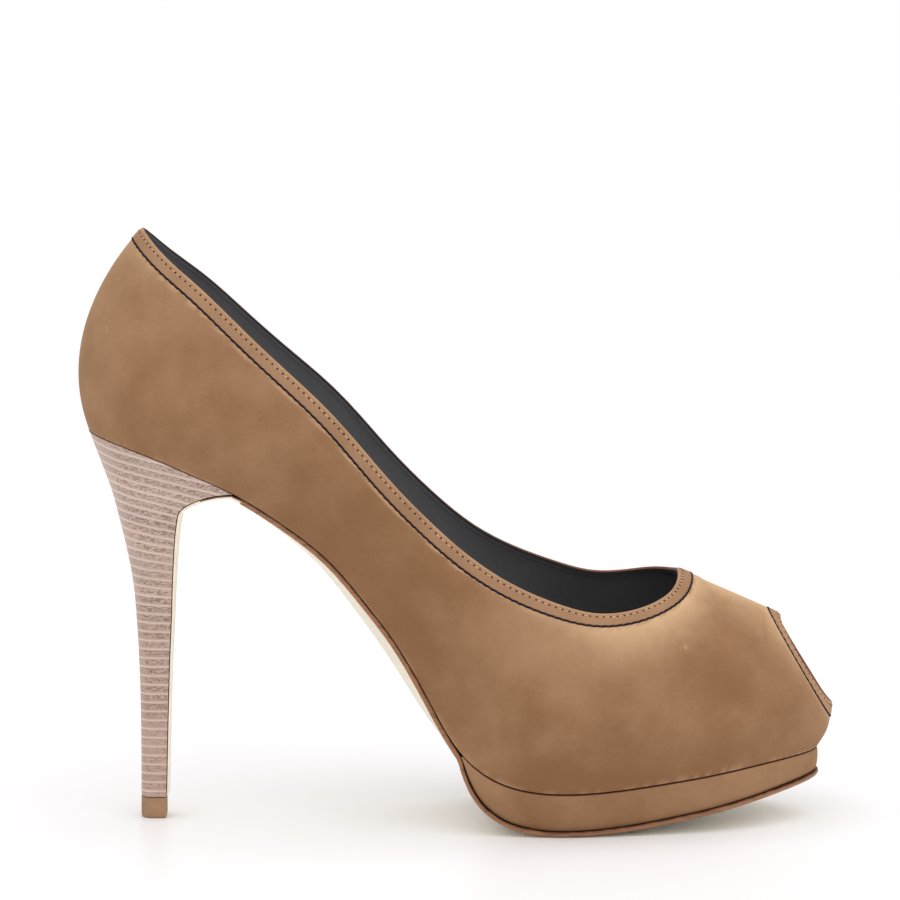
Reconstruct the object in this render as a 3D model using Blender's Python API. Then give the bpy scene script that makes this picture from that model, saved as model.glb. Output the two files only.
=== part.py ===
"""Peep toe pump, right shoe, standing empty on its sole.

The toe points along +X, the outer side of the foot faces -Y, and the origin is
the centre of the top lift's flat face, where the heel meets the floor.
"""

import math
from collections import namedtuple
from functools import lru_cache

import bmesh
import bpy
import numpy as np

# Sizes of the last and the sole, in metres
GAP = 0.0003
SOLE_REACH = 0.2183
SEAT_BACK = -0.0187
HEEL_RISE = 0.1043
TOE_SPRING = 0.0078
TOE_SWING = 0.0040
BALL_WIDTH = 0.0800
HEEL_ROUND = 0.022
TOE_ROUND = 0.039

# Sizes of the upper
UPPER_WALL = 0.0018
LINING_WALL = 0.0008
BACK_HEIGHT = 0.0563
MEDIAL_LIFT = 0.0052
PEEP_TOP = 0.2025
PEEP_TOP_HEIGHT = 0.0499
PEEP_WIDTH = 0.0320
NOSE_OVERHANG = 0.0037
LIP_HEIGHT = 0.0083

# Sizes of the trim
PIPING_DIAMETER = 0.0010
BINDING_WIDTH = 0.0034
BINDING_THICKNESS = 0.0009
BINDING_BEND = 0.024

# Sizes of the bottom
INSOLE_THICKNESS = 0.0026
PLATFORM_THICKNESS = 0.0107
PLATFORM_DRAFT = 0.0013
OUTSOLE_THICKNESS = 0.0018
OUTSOLE_MARGIN = 0.0006
OUTSOLE_EDGE = 0.0014
EDGE_ROUNDING = 0.0004
BOTTOM_CROWN = 0.0042
FLAP_THICKNESS = 0.0009
FLAP_FOOT_THICKNESS = 0.0005
TONGUE_LENGTH = 0.0470
HEEL_TIP_DEPTH = 0.0076
HEEL_TIP_WIDTH = 0.0086
TOP_LIFT_HEIGHT = 0.0060

# Worked out from them
SIDES = (-1, 1)
BALL_HEIGHT = OUTSOLE_THICKNESS + GAP + PLATFORM_THICKNESS + GAP / 2
SEAT_HEIGHT = BALL_HEIGHT + HEEL_RISE
SLOT_WIDTH = PIPING_DIAMETER + 2 * GAP
COLLAR_WIDTH = SLOT_WIDTH + BINDING_WIDTH
STEP_DEPTH = UPPER_WALL - LINING_WALL

# The foot's bed in side view, in shares of the reach, the rise and the spring
BedRow = namedtuple("BedRow", "forward rise spring")
BED = (
    BedRow(0.000, 1.000, 0.00),
    BedRow(0.045, 0.976, 0.00),
    BedRow(0.092, 0.942, 0.00),
    BedRow(0.150, 0.889, 0.00),
    BedRow(0.200, 0.840, 0.00),
    BedRow(0.245, 0.783, 0.00),
    BedRow(0.290, 0.716, 0.00),
    BedRow(0.335, 0.634, 0.00),
    BedRow(0.380, 0.523, 0.00),
    BedRow(0.425, 0.396, 0.00),
    BedRow(0.465, 0.252, 0.00),
    BedRow(0.497, 0.138, 0.00),
    BedRow(0.530, 0.066, 0.00),
    BedRow(0.575, 0.019, 0.00),
    BedRow(0.630, 0.001, 0.00),
    BedRow(0.690, 0.000, 0.04),
    BedRow(0.780, 0.000, 0.30),
    BedRow(0.860, 0.000, 0.60),
    BedRow(0.930, 0.000, 0.85),
    BedRow(1.000, 0.000, 1.00),
)

# The sole's outline, in shares of its length along the bed and of half the ball width
OutlineRow = namedtuple("OutlineRow", "along outer inner")
OUTLINE = (
    OutlineRow(0.00, 0.62, 0.62),
    OutlineRow(0.08, 0.63, 0.63),
    OutlineRow(0.16, 0.62, 0.61),
    OutlineRow(0.30, 0.58, 0.51),
    OutlineRow(0.42, 0.62, 0.46),
    OutlineRow(0.52, 0.72, 0.55),
    OutlineRow(0.60, 0.85, 0.74),
    OutlineRow(0.67, 0.93, 0.92),
    OutlineRow(0.73, 0.94, 1.00),
    OutlineRow(0.80, 0.88, 0.98),
    OutlineRow(0.88, 0.78, 0.87),
    OutlineRow(0.94, 0.69, 0.75),
    OutlineRow(1.00, 0.60, 0.63),
)

# The panel's top edge from the back to the throat: shares of the reach, the rise, the
# back height, half the ball width on each side and the medial lift, then the way that
# the wall faces
EdgeRow = namedtuple("EdgeRow", "forward rise wall outer inner lift ahead aside above")
TOPLINE = (
    EdgeRow(0.059, 1.000, 1.000, 0.000, 0.000, 0.00, -0.77, 0.00, 0.63),
    EdgeRow(0.089, 0.970, 0.936, 0.345, 0.345, 0.00, -0.63, 0.55, 0.54),
    EdgeRow(0.141, 0.910, 0.879, 0.535, 0.530, 0.00, -0.39, 0.84, 0.37),
    EdgeRow(0.200, 0.830, 0.812, 0.625, 0.612, 0.05, -0.17, 0.95, 0.24),
    EdgeRow(0.258, 0.740, 0.769, 0.670, 0.650, 0.15, -0.05, 0.98, 0.17),
    EdgeRow(0.317, 0.650, 0.719, 0.705, 0.670, 0.30, 0.00, 0.99, 0.13),
    EdgeRow(0.397, 0.480, 0.677, 0.725, 0.670, 0.45, 0.03, 0.99, 0.12),
    EdgeRow(0.455, 0.360, 0.671, 0.745, 0.680, 0.50, 0.06, 0.98, 0.15),
    EdgeRow(0.514, 0.240, 0.700, 0.770, 0.705, 0.60, 0.09, 0.97, 0.21),
    EdgeRow(0.573, 0.140, 0.746, 0.790, 0.735, 0.80, 0.12, 0.94, 0.30),
    EdgeRow(0.632, 0.070, 0.782, 0.795, 0.745, 0.95, 0.15, 0.89, 0.41),
    EdgeRow(0.691, 0.020, 0.822, 0.775, 0.730, 1.00, 0.19, 0.82, 0.53),
    EdgeRow(0.751, 0.000, 0.877, 0.705, 0.670, 1.00, 0.24, 0.73, 0.63),
    EdgeRow(0.784, 0.000, 0.915, 0.605, 0.580, 0.90, 0.29, 0.63, 0.71),
    EdgeRow(0.816, 0.000, 0.982, 0.400, 0.385, 0.50, 0.35, 0.42, 0.83),
    EdgeRow(0.829, 0.000, 1.055, 0.000, 0.000, 0.00, 0.40, 0.00, 0.92),
)

# The way that the wall faces round the peep toe, from its top down to the lip
FacingRow = namedtuple("FacingRow", "share ahead aside above")
PEEP_FACING = (
    FacingRow(0.00, 0.40, 0.00, 0.92),
    FacingRow(0.25, 0.66, 0.30, 0.66),
    FacingRow(0.50, 0.86, 0.38, 0.34),
    FacingRow(0.75, 0.94, 0.28, 0.10),
    FacingRow(1.00, 0.98, 0.00, -0.20),
)

# The ribs of the upper, from the sole's edge to the panel's edge. They end on the topline
# for a reach of 0 to 1, on the ridge to 2 and on the peep toe to 3. The flare is in
# degrees, the handles are shares of a rib's straight length, and sweep is how far a rib
# turns forward over the instep where it ends.
RibRow = namedtuple("RibRow", "rib reach flare low high sweep")
THROAT_RIB = 0.78
PEEP_RIB = 0.84
PEEP_SWEEP = 0.6
RIBS = (
    RibRow(0.00, 0.000, 34, 0.37, 0.36, 0.0),
    RibRow(0.09, 0.062, 31, 0.37, 0.36, 0.0),
    RibRow(0.18, 0.140, 27, 0.36, 0.35, 0.0),
    RibRow(0.28, 0.285, 26, 0.36, 0.34, 0.0),
    RibRow(0.38, 0.505, 27, 0.36, 0.34, 0.0),
    RibRow(0.46, 0.645, 27, 0.38, 0.34, 0.0),
    RibRow(0.54, 0.745, 22, 0.42, 0.33, 0.0),
    RibRow(0.60, 0.805, 17, 0.44, 0.32, 0.0),
    RibRow(0.66, 0.860, 14, 0.46, 0.31, 0.0),
    RibRow(0.72, 0.925, 14, 0.46, 0.31, 0.0),
    RibRow(THROAT_RIB, 1.000, 15, 0.46, 0.31, 0.0),
    RibRow(0.81, 1.500, 16, 0.46, 0.31, 0.3),
    RibRow(PEEP_RIB, 2.000, 17, 0.45, 0.32, 0.6),
    RibRow(0.88, 2.200, 21, 0.42, 0.34, 0.4),
    RibRow(0.93, 2.500, 29, 0.40, 0.36, 0.1),
    RibRow(1.00, 3.000, 40, 0.36, 0.36, 0.0),
)

# The bottom under the bed, in shares of the platform's thickness and of the crown
BottomRow = namedtuple("BottomRow", "along platform crown")
BOTTOM = (
    BottomRow(0.000, 0.00, 0.00),
    BottomRow(0.170, 0.00, 0.30),
    BottomRow(0.250, 0.00, 0.60),
    BottomRow(0.340, 0.00, 0.85),
    BottomRow(0.430, 0.00, 1.00),
    BottomRow(0.500, 0.00, 0.85),
    BottomRow(0.545, 0.00, 0.55),
    BottomRow(0.575, 0.02, 0.35),
    BottomRow(0.595, 0.28, 0.24),
    BottomRow(0.612, 0.56, 0.17),
    BottomRow(0.630, 0.80, 0.14),
    BottomRow(0.655, 0.97, 0.12),
    BottomRow(0.690, 1.03, 0.12),
    BottomRow(0.760, 1.01, 0.12),
    BottomRow(0.850, 0.93, 0.12),
    BottomRow(0.920, 0.82, 0.12),
    BottomRow(1.000, 0.61, 0.10),
)
PLATFORM_START = 0.578

# The heel from its tip to its seat: heights as shares of the way up to the seat's back,
# then how far each level has grown from the tip towards the seat, and how closely it
# follows the seat's own edge
HeelRow = namedtuple("HeelRow", "front_height front back_height back width hug")
HEEL = (
    HeelRow(0.0000, 0.000, 0.000, 0.000, 0.00, 0.0),
    HeelRow(0.2135, 0.028, 0.214, 0.000, 0.00, 0.0),
    HeelRow(0.3940, 0.061, 0.394, 0.034, 0.02, 0.0),
    HeelRow(0.4840, 0.085, 0.490, 0.075, 0.05, 0.0),
    HeelRow(0.5740, 0.103, 0.587, 0.140, 0.10, 0.0),
    HeelRow(0.6640, 0.131, 0.700, 0.300, 0.19, 0.0),
    HeelRow(0.7270, 0.160, 0.780, 0.443, 0.32, 0.0),
    HeelRow(0.7630, 0.190, 0.835, 0.550, 0.45, 0.0),
    HeelRow(0.7930, 0.240, 0.885, 0.680, 0.60, 0.0),
    HeelRow(0.8135, 0.320, 0.925, 0.785, 0.73, 0.1),
    HeelRow(0.8280, 0.437, 0.955, 0.870, 0.84, 0.2),
    HeelRow(0.8405, 0.600, 0.975, 0.920, 0.92, 0.4),
    HeelRow(0.8480, 0.790, 0.990, 0.965, 0.97, 0.7),
    HeelRow(0.8540, 1.000, 1.000, 1.000, 1.00, 1.0),
)

# The shoe's finishes, as red, green, blue, roughness and metallic
FINISHES = {
    "nubuck": (0.330, 0.185, 0.095, 0.90, 0.0),
    "nubuck_edge": (0.420, 0.250, 0.135, 0.88, 0.0),
    "piping_cord": (0.022, 0.010, 0.030, 0.75, 0.0),
    "lining_leather": (0.035, 0.035, 0.036, 0.55, 0.0),
    "sole_leather": (0.780, 0.640, 0.450, 0.45, 0.0),
    "stacked_leather": (0.500, 0.350, 0.270, 0.50, 0.0),
    "lift_rubber": (0.360, 0.205, 0.110, 0.70, 0.0),
}


def unit(vector):
    return vector / np.linalg.norm(vector)


def column(table, name):
    return [getattr(row, name) for row in table]


def columns(table, *names):
    return [[getattr(row, name) for name in names] for row in table]


def spline(knots, values):
    """A smooth function through rows of values at rising knots."""
    knots = np.asarray(knots, float)
    values = np.asarray(values, float).reshape(len(knots), -1)
    steps = np.diff(knots)
    slopes = np.diff(values, axis=0) / steps[:, None]
    system = np.eye(len(knots))
    pull = np.zeros_like(values)
    for row in range(1, len(knots) - 1):
        before, after = steps[row - 1], steps[row]
        system[row, row - 1 : row + 2] = before, 2 * (before + after), after
        pull[row] = 6 * (slopes[row] - slopes[row - 1])
    bends = np.linalg.solve(system, pull)

    def at(place):
        row = min(max(int(np.searchsorted(knots, place)) - 1, 0), len(knots) - 2)
        step = steps[row]
        right = (min(max(place, knots[0]), knots[-1]) - knots[row]) / step
        left = 1 - right
        curve = (left**3 - left) * bends[row] + (right**3 - right) * bends[row + 1]
        return left * values[row] + right * values[row + 1] + curve * step**2 / 6

    return at


def steady(knots, values):
    """A smooth function through values at rising knots that never overshoots them."""
    knots = np.asarray(knots, float)
    values = np.asarray(values, float)
    slopes = np.diff(values) / np.diff(knots)
    tangents = np.concatenate([slopes[:1], np.zeros(len(knots) - 2), slopes[-1:]])
    for row in range(1, len(knots) - 1):
        before, after = slopes[row - 1], slopes[row]
        if before * after > 0:
            tangents[row] = 2 * before * after / (before + after)

    def at(place):
        row = min(max(int(np.searchsorted(knots, place)) - 1, 0), len(knots) - 2)
        step = knots[row + 1] - knots[row]
        t = (min(max(place, knots[0]), knots[-1]) - knots[row]) / step
        rise = values[row + 1] - values[row]
        start, end = tangents[row] * step, tangents[row + 1] * step
        bend = (t**3 - 2 * t**2 + t) * start + (t**3 - t**2) * end
        return values[row] + (3 * t**2 - 2 * t**3) * rise + bend

    return at


# The bed and the sole's outline
def bed_curve():
    """The bed as a function of its own length, and that length."""
    at = spline(column(BED, "forward"), columns(BED, "rise", "spring"))
    points = []
    for forward in np.linspace(0, 1, 101):
        rise, spring = at(forward)
        height = BALL_HEIGHT + rise * HEEL_RISE + spring * TOE_SPRING
        points.append((SEAT_BACK + forward * SOLE_REACH, height))
    lengths = np.linalg.norm(np.diff(points, axis=0), axis=1)
    places = np.concatenate([[0], np.cumsum(lengths)])
    return spline(places, points), places[-1]


BED_AT, SOLE_LENGTH = bed_curve()


def bed_frame(length):
    """The bed's point, its way to the toe and its upward normal, in the X Z plane."""
    inside = min(max(length, 0.0), SOLE_LENGTH)
    step = 0.0005
    along = unit(BED_AT(inside + step) - BED_AT(inside - step))
    here = BED_AT(inside) + along * (length - inside)
    return here, along, np.array([-along[1], along[0]])


def swung(point):
    """A point after the whole shoe is bent towards the inner side at its toe."""
    forward = max((point[0] - SEAT_BACK) / SOLE_REACH, 0.0)
    return point + np.array([0, TOE_SWING * forward**2, 0])


def on_bed(length, across, depth):
    """The point at a length along the bed, a place across it and a depth below it."""
    here, _, up = bed_frame(length)
    x, z = here - up * depth
    return swung(np.array([x, across, z]))


HALF_WIDTH = {
    -1: spline(column(OUTLINE, "along"), column(OUTLINE, "outer")),
    1: spline(column(OUTLINE, "along"), column(OUTLINE, "inner")),
}


def along_of(rib):
    """The share of the sole's length at a rib: the ribs are dense at both ends."""
    return (1 - math.cos(math.pi * rib)) / 2


def rib_at(along):
    return math.acos(1 - 2 * along) / math.pi


def round_end(distance, radius):
    share = min(max(distance / radius, 0.0), 1.0)
    return math.sqrt(1 - (1 - share) ** 2)


def outline(rib, side):
    """The sole's edge at a rib, as a length along the bed and a place across it."""
    along = along_of(rib)
    length = along * SOLE_LENGTH
    width = HALF_WIDTH[side](along)[0] * BALL_WIDTH / 2
    width *= round_end(length, HEEL_ROUND) * round_end(SOLE_LENGTH - length, TOE_ROUND)
    return np.array([length, side * width])


def outline_normal(rib, side):
    """The way out from the sole's edge, in the bed's own plane."""
    step = 0.004
    if rib < step or rib > 1 - step:
        return np.array([-1.0 if rib < step else 1.0, 0.0])
    along, across = outline(rib + step, side) - outline(rib - step, side)
    return unit(np.array([-side * across, side * along]))


def outline_inside(rib, side, inset):
    return outline(rib, side) - outline_normal(rib, side) * inset


# The upper's edge: topline, ridge and peep toe
def topline_curve(side):
    """Points and facing of the panel's edge by its share from the back to the throat."""
    loops = {}
    for hand, name in ((-1, "outer"), (1, "inner")):
        rows = []
        for row in TOPLINE:
            height = BALL_HEIGHT + row.rise * HEEL_RISE + row.wall * BACK_HEIGHT
            height += row.lift * MEDIAL_LIFT * (hand == 1)
            across = hand * getattr(row, name) * BALL_WIDTH / 2
            x = SEAT_BACK + row.forward * SOLE_REACH
            rows.append([x, across, height, row.ahead, hand * row.aside, row.above])
        loops[hand] = rows
    near, far = loops[side], loops[-side]
    beyond = 4
    loop = np.array(far[beyond:0:-1] + near + far[-2 : -2 - beyond : -1])
    lengths = np.linalg.norm(np.diff(loop[:, :3], axis=0), axis=1)
    places = np.concatenate([[0], np.cumsum(lengths)])
    start, end = places[beyond], places[beyond + len(near) - 1]
    return spline((places - start) / (end - start), loop)


TOPLINE_AT = {side: topline_curve(side) for side in SIDES}
FACING_AT = spline(
    column(PEEP_FACING, "share"), columns(PEEP_FACING, "ahead", "aside", "above")
)


def peep_curve(side):
    """Points and facing of the panel's edge round the peep toe, from its top down."""
    top = np.array([SEAT_BACK + PEEP_TOP, 0, BALL_HEIGHT + PEEP_TOP_HEIGHT])
    tip, _, _ = bed_frame(SOLE_LENGTH)
    low = np.array([tip[0] + NOSE_OVERHANG, 0, tip[1] + LIP_HEIGHT])

    def at(share):
        turn = math.pi * share
        across = np.array([0, side * PEEP_WIDTH / 2 * math.sin(turn), 0])
        point = (top + low) / 2 + (top - low) / 2 * math.cos(turn) + across
        facing = FACING_AT(share) * np.array([1, side, 1])
        return np.concatenate([point, facing])

    return at


def ridge_curve(side):
    """Points and facing along the instep, from the throat to the peep toe."""
    throat, peep = TOPLINE_AT[side](1.0), peep_curve(side)(0.0)
    return lambda share: throat + (peep - throat) * share


RIDGE_AT = {side: ridge_curve(side) for side in SIDES}
PEEP_AT = {side: peep_curve(side) for side in SIDES}
EDGES = {"topline": TOPLINE_AT, "ridge": RIDGE_AT, "peep": PEEP_AT}

TOPLINE_RIBS = [row for row in RIBS if row.rib <= THROAT_RIB]
PEEP_RIBS = [row for row in RIBS if row.rib >= PEEP_RIB][::-1]
TOPLINE_SHARE = steady(column(TOPLINE_RIBS, "rib"), column(TOPLINE_RIBS, "reach"))
PEEP_SHARE = steady([1 - row.rib for row in PEEP_RIBS], [3 - row.reach for row in PEEP_RIBS])


def edge_of(rib):
    """Which edge a rib ends on."""
    if rib < THROAT_RIB:
        return "topline"
    return "ridge" if rib < PEEP_RIB else "peep"


def share_on(edge, rib):
    """How far along an edge a rib ends."""
    if edge == "topline":
        return TOPLINE_SHARE(rib)
    if edge == "peep":
        return 1 - PEEP_SHARE(1 - rib)
    return (rib - THROAT_RIB) / (PEEP_RIB - THROAT_RIB)


@lru_cache(maxsize=None)
def edge_frame(edge, rib, side):
    """The edge's point at a rib, its direction and the way that the wall faces."""
    curve, share = EDGES[edge][side], share_on(edge, rib)
    step = 1e-3
    place = curve(share)
    along = unit((curve(share + step) - curve(share - step))[:3])
    if edge != "ridge" and rib in (0.0, THROAT_RIB, PEEP_RIB, 1.0):
        along = np.array([0.0, math.copysign(1.0, along[1]), 0.0])
    facing = place[3:]
    return place[:3], along, unit(facing - along * (facing @ along))


FLARE = spline(column(RIBS, "rib"), column(RIBS, "flare"))
HANDLES = spline(column(RIBS, "rib"), columns(RIBS, "low", "high"))
SWEEP = steady(column(RIBS, "rib"), column(RIBS, "sweep"))
RIDGE_WAY = unit(PEEP_AT[1](0.0)[:3] - TOPLINE_AT[1](1.0)[:3])


@lru_cache(maxsize=None)
def rib_guide(rib, side):
    """A rib's four guide points from the sole's edge up, and the bed's own way up."""
    length, across = outline(rib, side)
    here, along, up = bed_frame(length)
    rise = np.array([up[0], 0, up[1]])
    start = np.array([here[0], across, here[1]]) + rise * GAP / 2
    away = outline_normal(rib, side)
    out = np.array([along[0] * away[0], away[1], along[1] * away[0]])
    flare = math.radians(FLARE(rib)[0])
    leaving = rise * math.cos(flare) + out * math.sin(flare)
    end, _, facing = edge_frame(edge_of(rib), rib, side)
    chord = np.linalg.norm(end - start)
    over = unit(RIDGE_WAY * PEEP_SWEEP - np.array([0, side, 0]))
    wish = (end - start) / chord * (1 - SWEEP(rib)) + over * SWEEP(rib)
    arriving = unit(wish - facing * (wish @ facing))
    low, high = HANDLES(rib) * chord
    return start, start + leaving * low, end - arriving * high, end, rise


def on_rib(guide, t):
    start, low, high, end, _ = guide
    u = 1 - t
    return u**3 * start + 3 * u * u * t * low + 3 * u * t * t * high + t**3 * end


def rib_slope(guide, t):
    start, low, high, end, _ = guide
    u = 1 - t
    return u * u * (low - start) + 2 * u * t * (high - low) + t * t * (end - high)


def panel_row(rib, side, shares, depth):
    """The panel's points at a rib, this deep below its outer face."""
    step = 0.002
    guide = rib_guide(rib, side)
    before, after = rib_guide(max(rib - step, 0.0), side), rib_guide(min(rib + step, 1.0), side)
    at_seam = rib in (0.0, 1.0)
    held_until = 0.15
    points = []
    for t in shares:
        here = on_rib(guide, t)
        if t == 1:
            facing = edge_frame(edge_of(rib), rib, side)[2]
        else:
            along = on_rib(after, t) - on_rib(before, t)
            if at_seam:
                along = np.array([0, side if rib == 0 else -side, 0], float)
            facing = unit(np.cross(along, rib_slope(guide, t))) * -side
        held = 1 - min(t / held_until, 1.0)
        facing = unit(facing - guide[4] * (facing @ guide[4]) * held)
        points.append(swung(here - facing * depth))
    return points


def collar_point(edge, rib, side, reach, depth):
    """A point of the band beyond the panel's edge, bent inward as it goes."""
    here, along, facing = edge_frame(edge, rib, side)
    away = unit(np.cross(along, facing)) * side
    turn = reach / BINDING_BEND
    flat, drop = BINDING_BEND * math.sin(turn), BINDING_BEND * (1 - math.cos(turn))
    outward = facing * math.cos(turn) + away * math.sin(turn)
    return swung(here + away * flat - facing * drop - outward * depth)


# Meshes and objects
def material(name):
    red, green, blue, roughness, metallic = FINISHES[name]
    made = bpy.data.materials.get(name) or bpy.data.materials.new(name)
    made.use_nodes = True
    shader = made.node_tree.nodes["Principled BSDF"]
    shader.inputs["Base Color"].default_value = (red, green, blue, 1)
    shader.inputs["Roughness"].default_value = roughness
    shader.inputs["Metallic"].default_value = metallic
    made.diffuse_color = (red, green, blue, 1)
    return made


def make_object(name, data, finish, home):
    data.materials.append(material(finish))
    made = bpy.data.objects.new(name, data)
    home.objects.link(made)
    return made


def mesh_of(name, faces):
    """A smooth mesh from faces given by their corners, with corners that meet made one."""
    merge, sharp = 2e-6, math.radians(38)
    draft = bmesh.new()
    for face in faces:
        corners = [
            point
            for index, point in enumerate(face)
            if np.linalg.norm(point - face[index - 1]) > merge
        ]
        if len(corners) > 2:
            draft.faces.new([draft.verts.new(point) for point in corners])
    bmesh.ops.remove_doubles(draft, verts=draft.verts[:], dist=merge)
    bmesh.ops.triangulate(draft, faces=draft.faces[:])
    bmesh.ops.recalc_face_normals(draft, faces=draft.faces[:])
    mesh = bpy.data.meshes.new(name)
    draft.to_mesh(mesh)
    draft.free()
    mesh.shade_smooth()
    mesh.set_sharp_from_angle(angle=sharp)
    return mesh


def skin(rows):
    """The faces between each row of points and the next."""
    faces = []
    for first, second in zip(rows, rows[1:]):
        for left in range(len(first) - 1):
            faces.append([first[left], first[left + 1], second[left + 1], second[left]])
    return faces


def tube_skin(rings):
    return skin([ring + ring[:1] for ring in rings])


def end_skin(ring):
    """The faces across a section whose second half runs back under its first."""
    half = len(ring) // 2
    return skin([ring[:half], ring[half:][::-1]])


def spread(*stops):
    """Places from stop to stop, each stretch in its own number of even steps."""
    places = [stops[0]]
    for count, stop in zip(stops[1::2], stops[2::2]):
        places += [float(place) for place in np.linspace(places[-1], stop, count + 1)[1:]]
    return places


# Closer together round the heel and the toe
UPPER_RIBS = spread(0.0, 4, 0.05, 7, 0.20, 10, 0.54, 13, THROAT_RIB, 4, PEEP_RIB, 12, 1.0)


def stretch(edge):
    """The upper's ribs along one of its open edges."""
    ends = (0.0, THROAT_RIB) if edge == "topline" else (PEEP_RIB, 1.0)
    return [rib for rib in UPPER_RIBS if ends[0] <= rib <= ends[1]]


def round_trip(edge):
    """Ribs and sides once round an opening."""
    ribs = stretch(edge)
    return [(rib, -1) for rib in ribs] + [(rib, 1) for rib in ribs[-2:0:-1]]


def build_upper(home):
    """One hollow wall, with a step along its open edges where the bindings lie."""
    shares = np.linspace(0, 1, 10)
    reaches = np.linspace(0, COLLAR_WIDTH, 4)
    faces = []
    for side in SIDES:
        outer = {rib: panel_row(rib, side, shares, 0.0) for rib in UPPER_RIBS}
        inner = {rib: panel_row(rib, side, shares, UPPER_WALL) for rib in UPPER_RIBS}
        faces += skin(list(outer.values())) + skin(list(inner.values()))
        faces += skin([[outer[rib][0], inner[rib][0]] for rib in UPPER_RIBS])
        for edge in ("topline", "peep"):
            rows = []
            for rib in stretch(edge):
                row = [outer[rib][-1]]
                row += [collar_point(edge, rib, side, at, STEP_DEPTH) for at in reaches]
                row += [collar_point(edge, rib, side, at, UPPER_WALL) for at in reaches[:0:-1]]
                rows.append(row + [inner[rib][-1]])
            faces += skin(rows)
    make_object("upper", mesh_of("upper", faces), "nubuck", home)


def build_binding(name, edge, home):
    """The band beyond the piping, laid in the upper's step."""
    under = STEP_DEPTH - GAP
    reaches = np.linspace(SLOT_WIDTH, COLLAR_WIDTH, 4)
    rings = []
    for rib, side in round_trip(edge):
        ring = [
            collar_point(edge, rib, side, at, under - BINDING_THICKNESS) for at in reaches
        ]
        ring += [collar_point(edge, rib, side, at, under) for at in reaches[::-1]]
        rings.append(ring)
    faces = tube_skin(rings + rings[:1])
    make_object(name, mesh_of(name, faces), "nubuck_edge", home)


def build_piping(name, edge, home):
    """A round cord in the slot between the panel and the binding."""
    depth = STEP_DEPTH - GAP - PIPING_DIAMETER / 2
    route = [
        collar_point(edge, rib, side, SLOT_WIDTH / 2, depth) for rib, side in round_trip(edge)
    ]
    line = bpy.data.curves.new(name, "CURVE")
    line.dimensions = "3D"
    line.bevel_depth = PIPING_DIAMETER / 2
    line.bevel_resolution = 1
    track = line.splines.new("POLY")
    track.points.add(len(route) - 1)
    for point, place in zip(track.points, route):
        point.co = (*place, 1)
    track.use_cyclic_u = True
    make_object(name, line, "piping_cord", home)


# The bottom: insole, platform, heel, outsole and top lift
PLATFORM_AT = steady(column(BOTTOM, "along"), column(BOTTOM, "platform"))
CROWN_AT = steady(column(BOTTOM, "along"), column(BOTTOM, "crown"))


def slab_row(rib, inset, depth, crown, steps):
    """Points from the outer to the inner edge of a plate, deepest in the middle."""
    left, right = (outline_inside(rib, side, inset) for side in SIDES)
    row = []
    for share in np.linspace(0, 1, steps + 1):
        length, across = left + (right - left) * share
        bulge = crown * (1 - (2 * share - 1) ** 2)
        row.append(on_bed(length, across, depth + bulge))
    return row


def build_slab(name, rings, finish, home):
    faces = tube_skin(rings) + end_skin(rings[0]) + end_skin(rings[-1])
    make_object(name, mesh_of(name, faces), finish, home)


def build_insole(home):
    """The covered board on the bed, inside the upper."""
    inset = UPPER_WALL + GAP
    rings = []
    for rib in spread(0.0, 40, 1.0):
        top = slab_row(rib, inset, -GAP / 2 - INSOLE_THICKNESS, 0.0, 4)
        rings.append(top + slab_row(rib, inset, -GAP / 2, 0.0, 4)[::-1])
    build_slab("insole", rings, "lining_leather", home)


def platform_depth(along):
    return GAP / 2 + PLATFORM_AT(along) * PLATFORM_THICKNESS


def platform_inset(along):
    return PLATFORM_DRAFT * min(PLATFORM_AT(along), 1.0)


def build_platform(home):
    """The covered wedge from the ball's back edge to the toe."""
    rings = []
    for rib in spread(rib_at(PLATFORM_START), 9, 0.70, 16, 1.0):
        along = along_of(rib)
        top = slab_row(rib, 0.0, GAP / 2, 0.0, 6)
        low = slab_row(rib, platform_inset(along), platform_depth(along), 0.0, 6)
        rings.append(top + low[::-1])
    build_slab("platform", rings, "nubuck", home)


HEEL_TOP_LEVEL = len(HEEL) - 1
HEEL_AT = spline(
    range(len(HEEL)),
    columns(HEEL, "front_height", "front", "back_height", "back", "width", "hug"),
)
TONGUE_RIB = rib_at(TONGUE_LENGTH / SOLE_LENGTH)
SEAT_STEPS = 11
FRONT_STEPS = 6
SOLE_STEPS = 8


def seat_edge(side):
    """The seat's edge under the upper, from the back to the tongue's corner."""
    edge = []
    for rib in spread(0.0, SEAT_STEPS, TONGUE_RIB):
        length, across = outline(rib, side)
        edge.append(on_bed(length, across, GAP / 2))
    return edge


SEAT = {side: seat_edge(side) for side in SIDES}


def heel_halves(level):
    """The two sides of a heel section: the seat's outline, drawn in towards the tip."""
    front_height, front, back_height, back, width, hug = HEEL_AT(level)
    base = TOP_LIFT_HEIGHT + GAP
    rim_back, rim_front = SEAT[1][0], SEAT[1][-1]
    ends = []
    for height, share, sign, rim in (
        (back_height, back, -1, rim_back),
        (front_height, front, 1, rim_front),
    ):
        tip = sign * HEEL_TIP_DEPTH / 2
        x = tip + (rim[0] - tip) * share
        ends.append(np.array([x, base + (SEAT_HEIGHT - base) * height]))
    halves = {}
    for side in SIDES:
        widest = max(abs(point[1]) for point in SEAT[side])
        half = HEEL_TIP_WIDTH / 2 + (widest - HEEL_TIP_WIDTH / 2) * width
        points = []
        for rim in SEAT[side]:
            share = (rim[0] - rim_back[0]) / (rim_front[0] - rim_back[0])
            x, z = ends[0] + (ends[1] - ends[0]) * share
            plain = np.array([x, half * rim[1] / widest, z])
            points.append(plain * (1 - hug) + rim * hug)
        halves[side] = points
    return halves


def heel_front(level):
    """The front edge of a heel section, from the outer to the inner corner."""
    halves = heel_halves(level)
    return halves[-1][-1], halves[1][-1]


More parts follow.
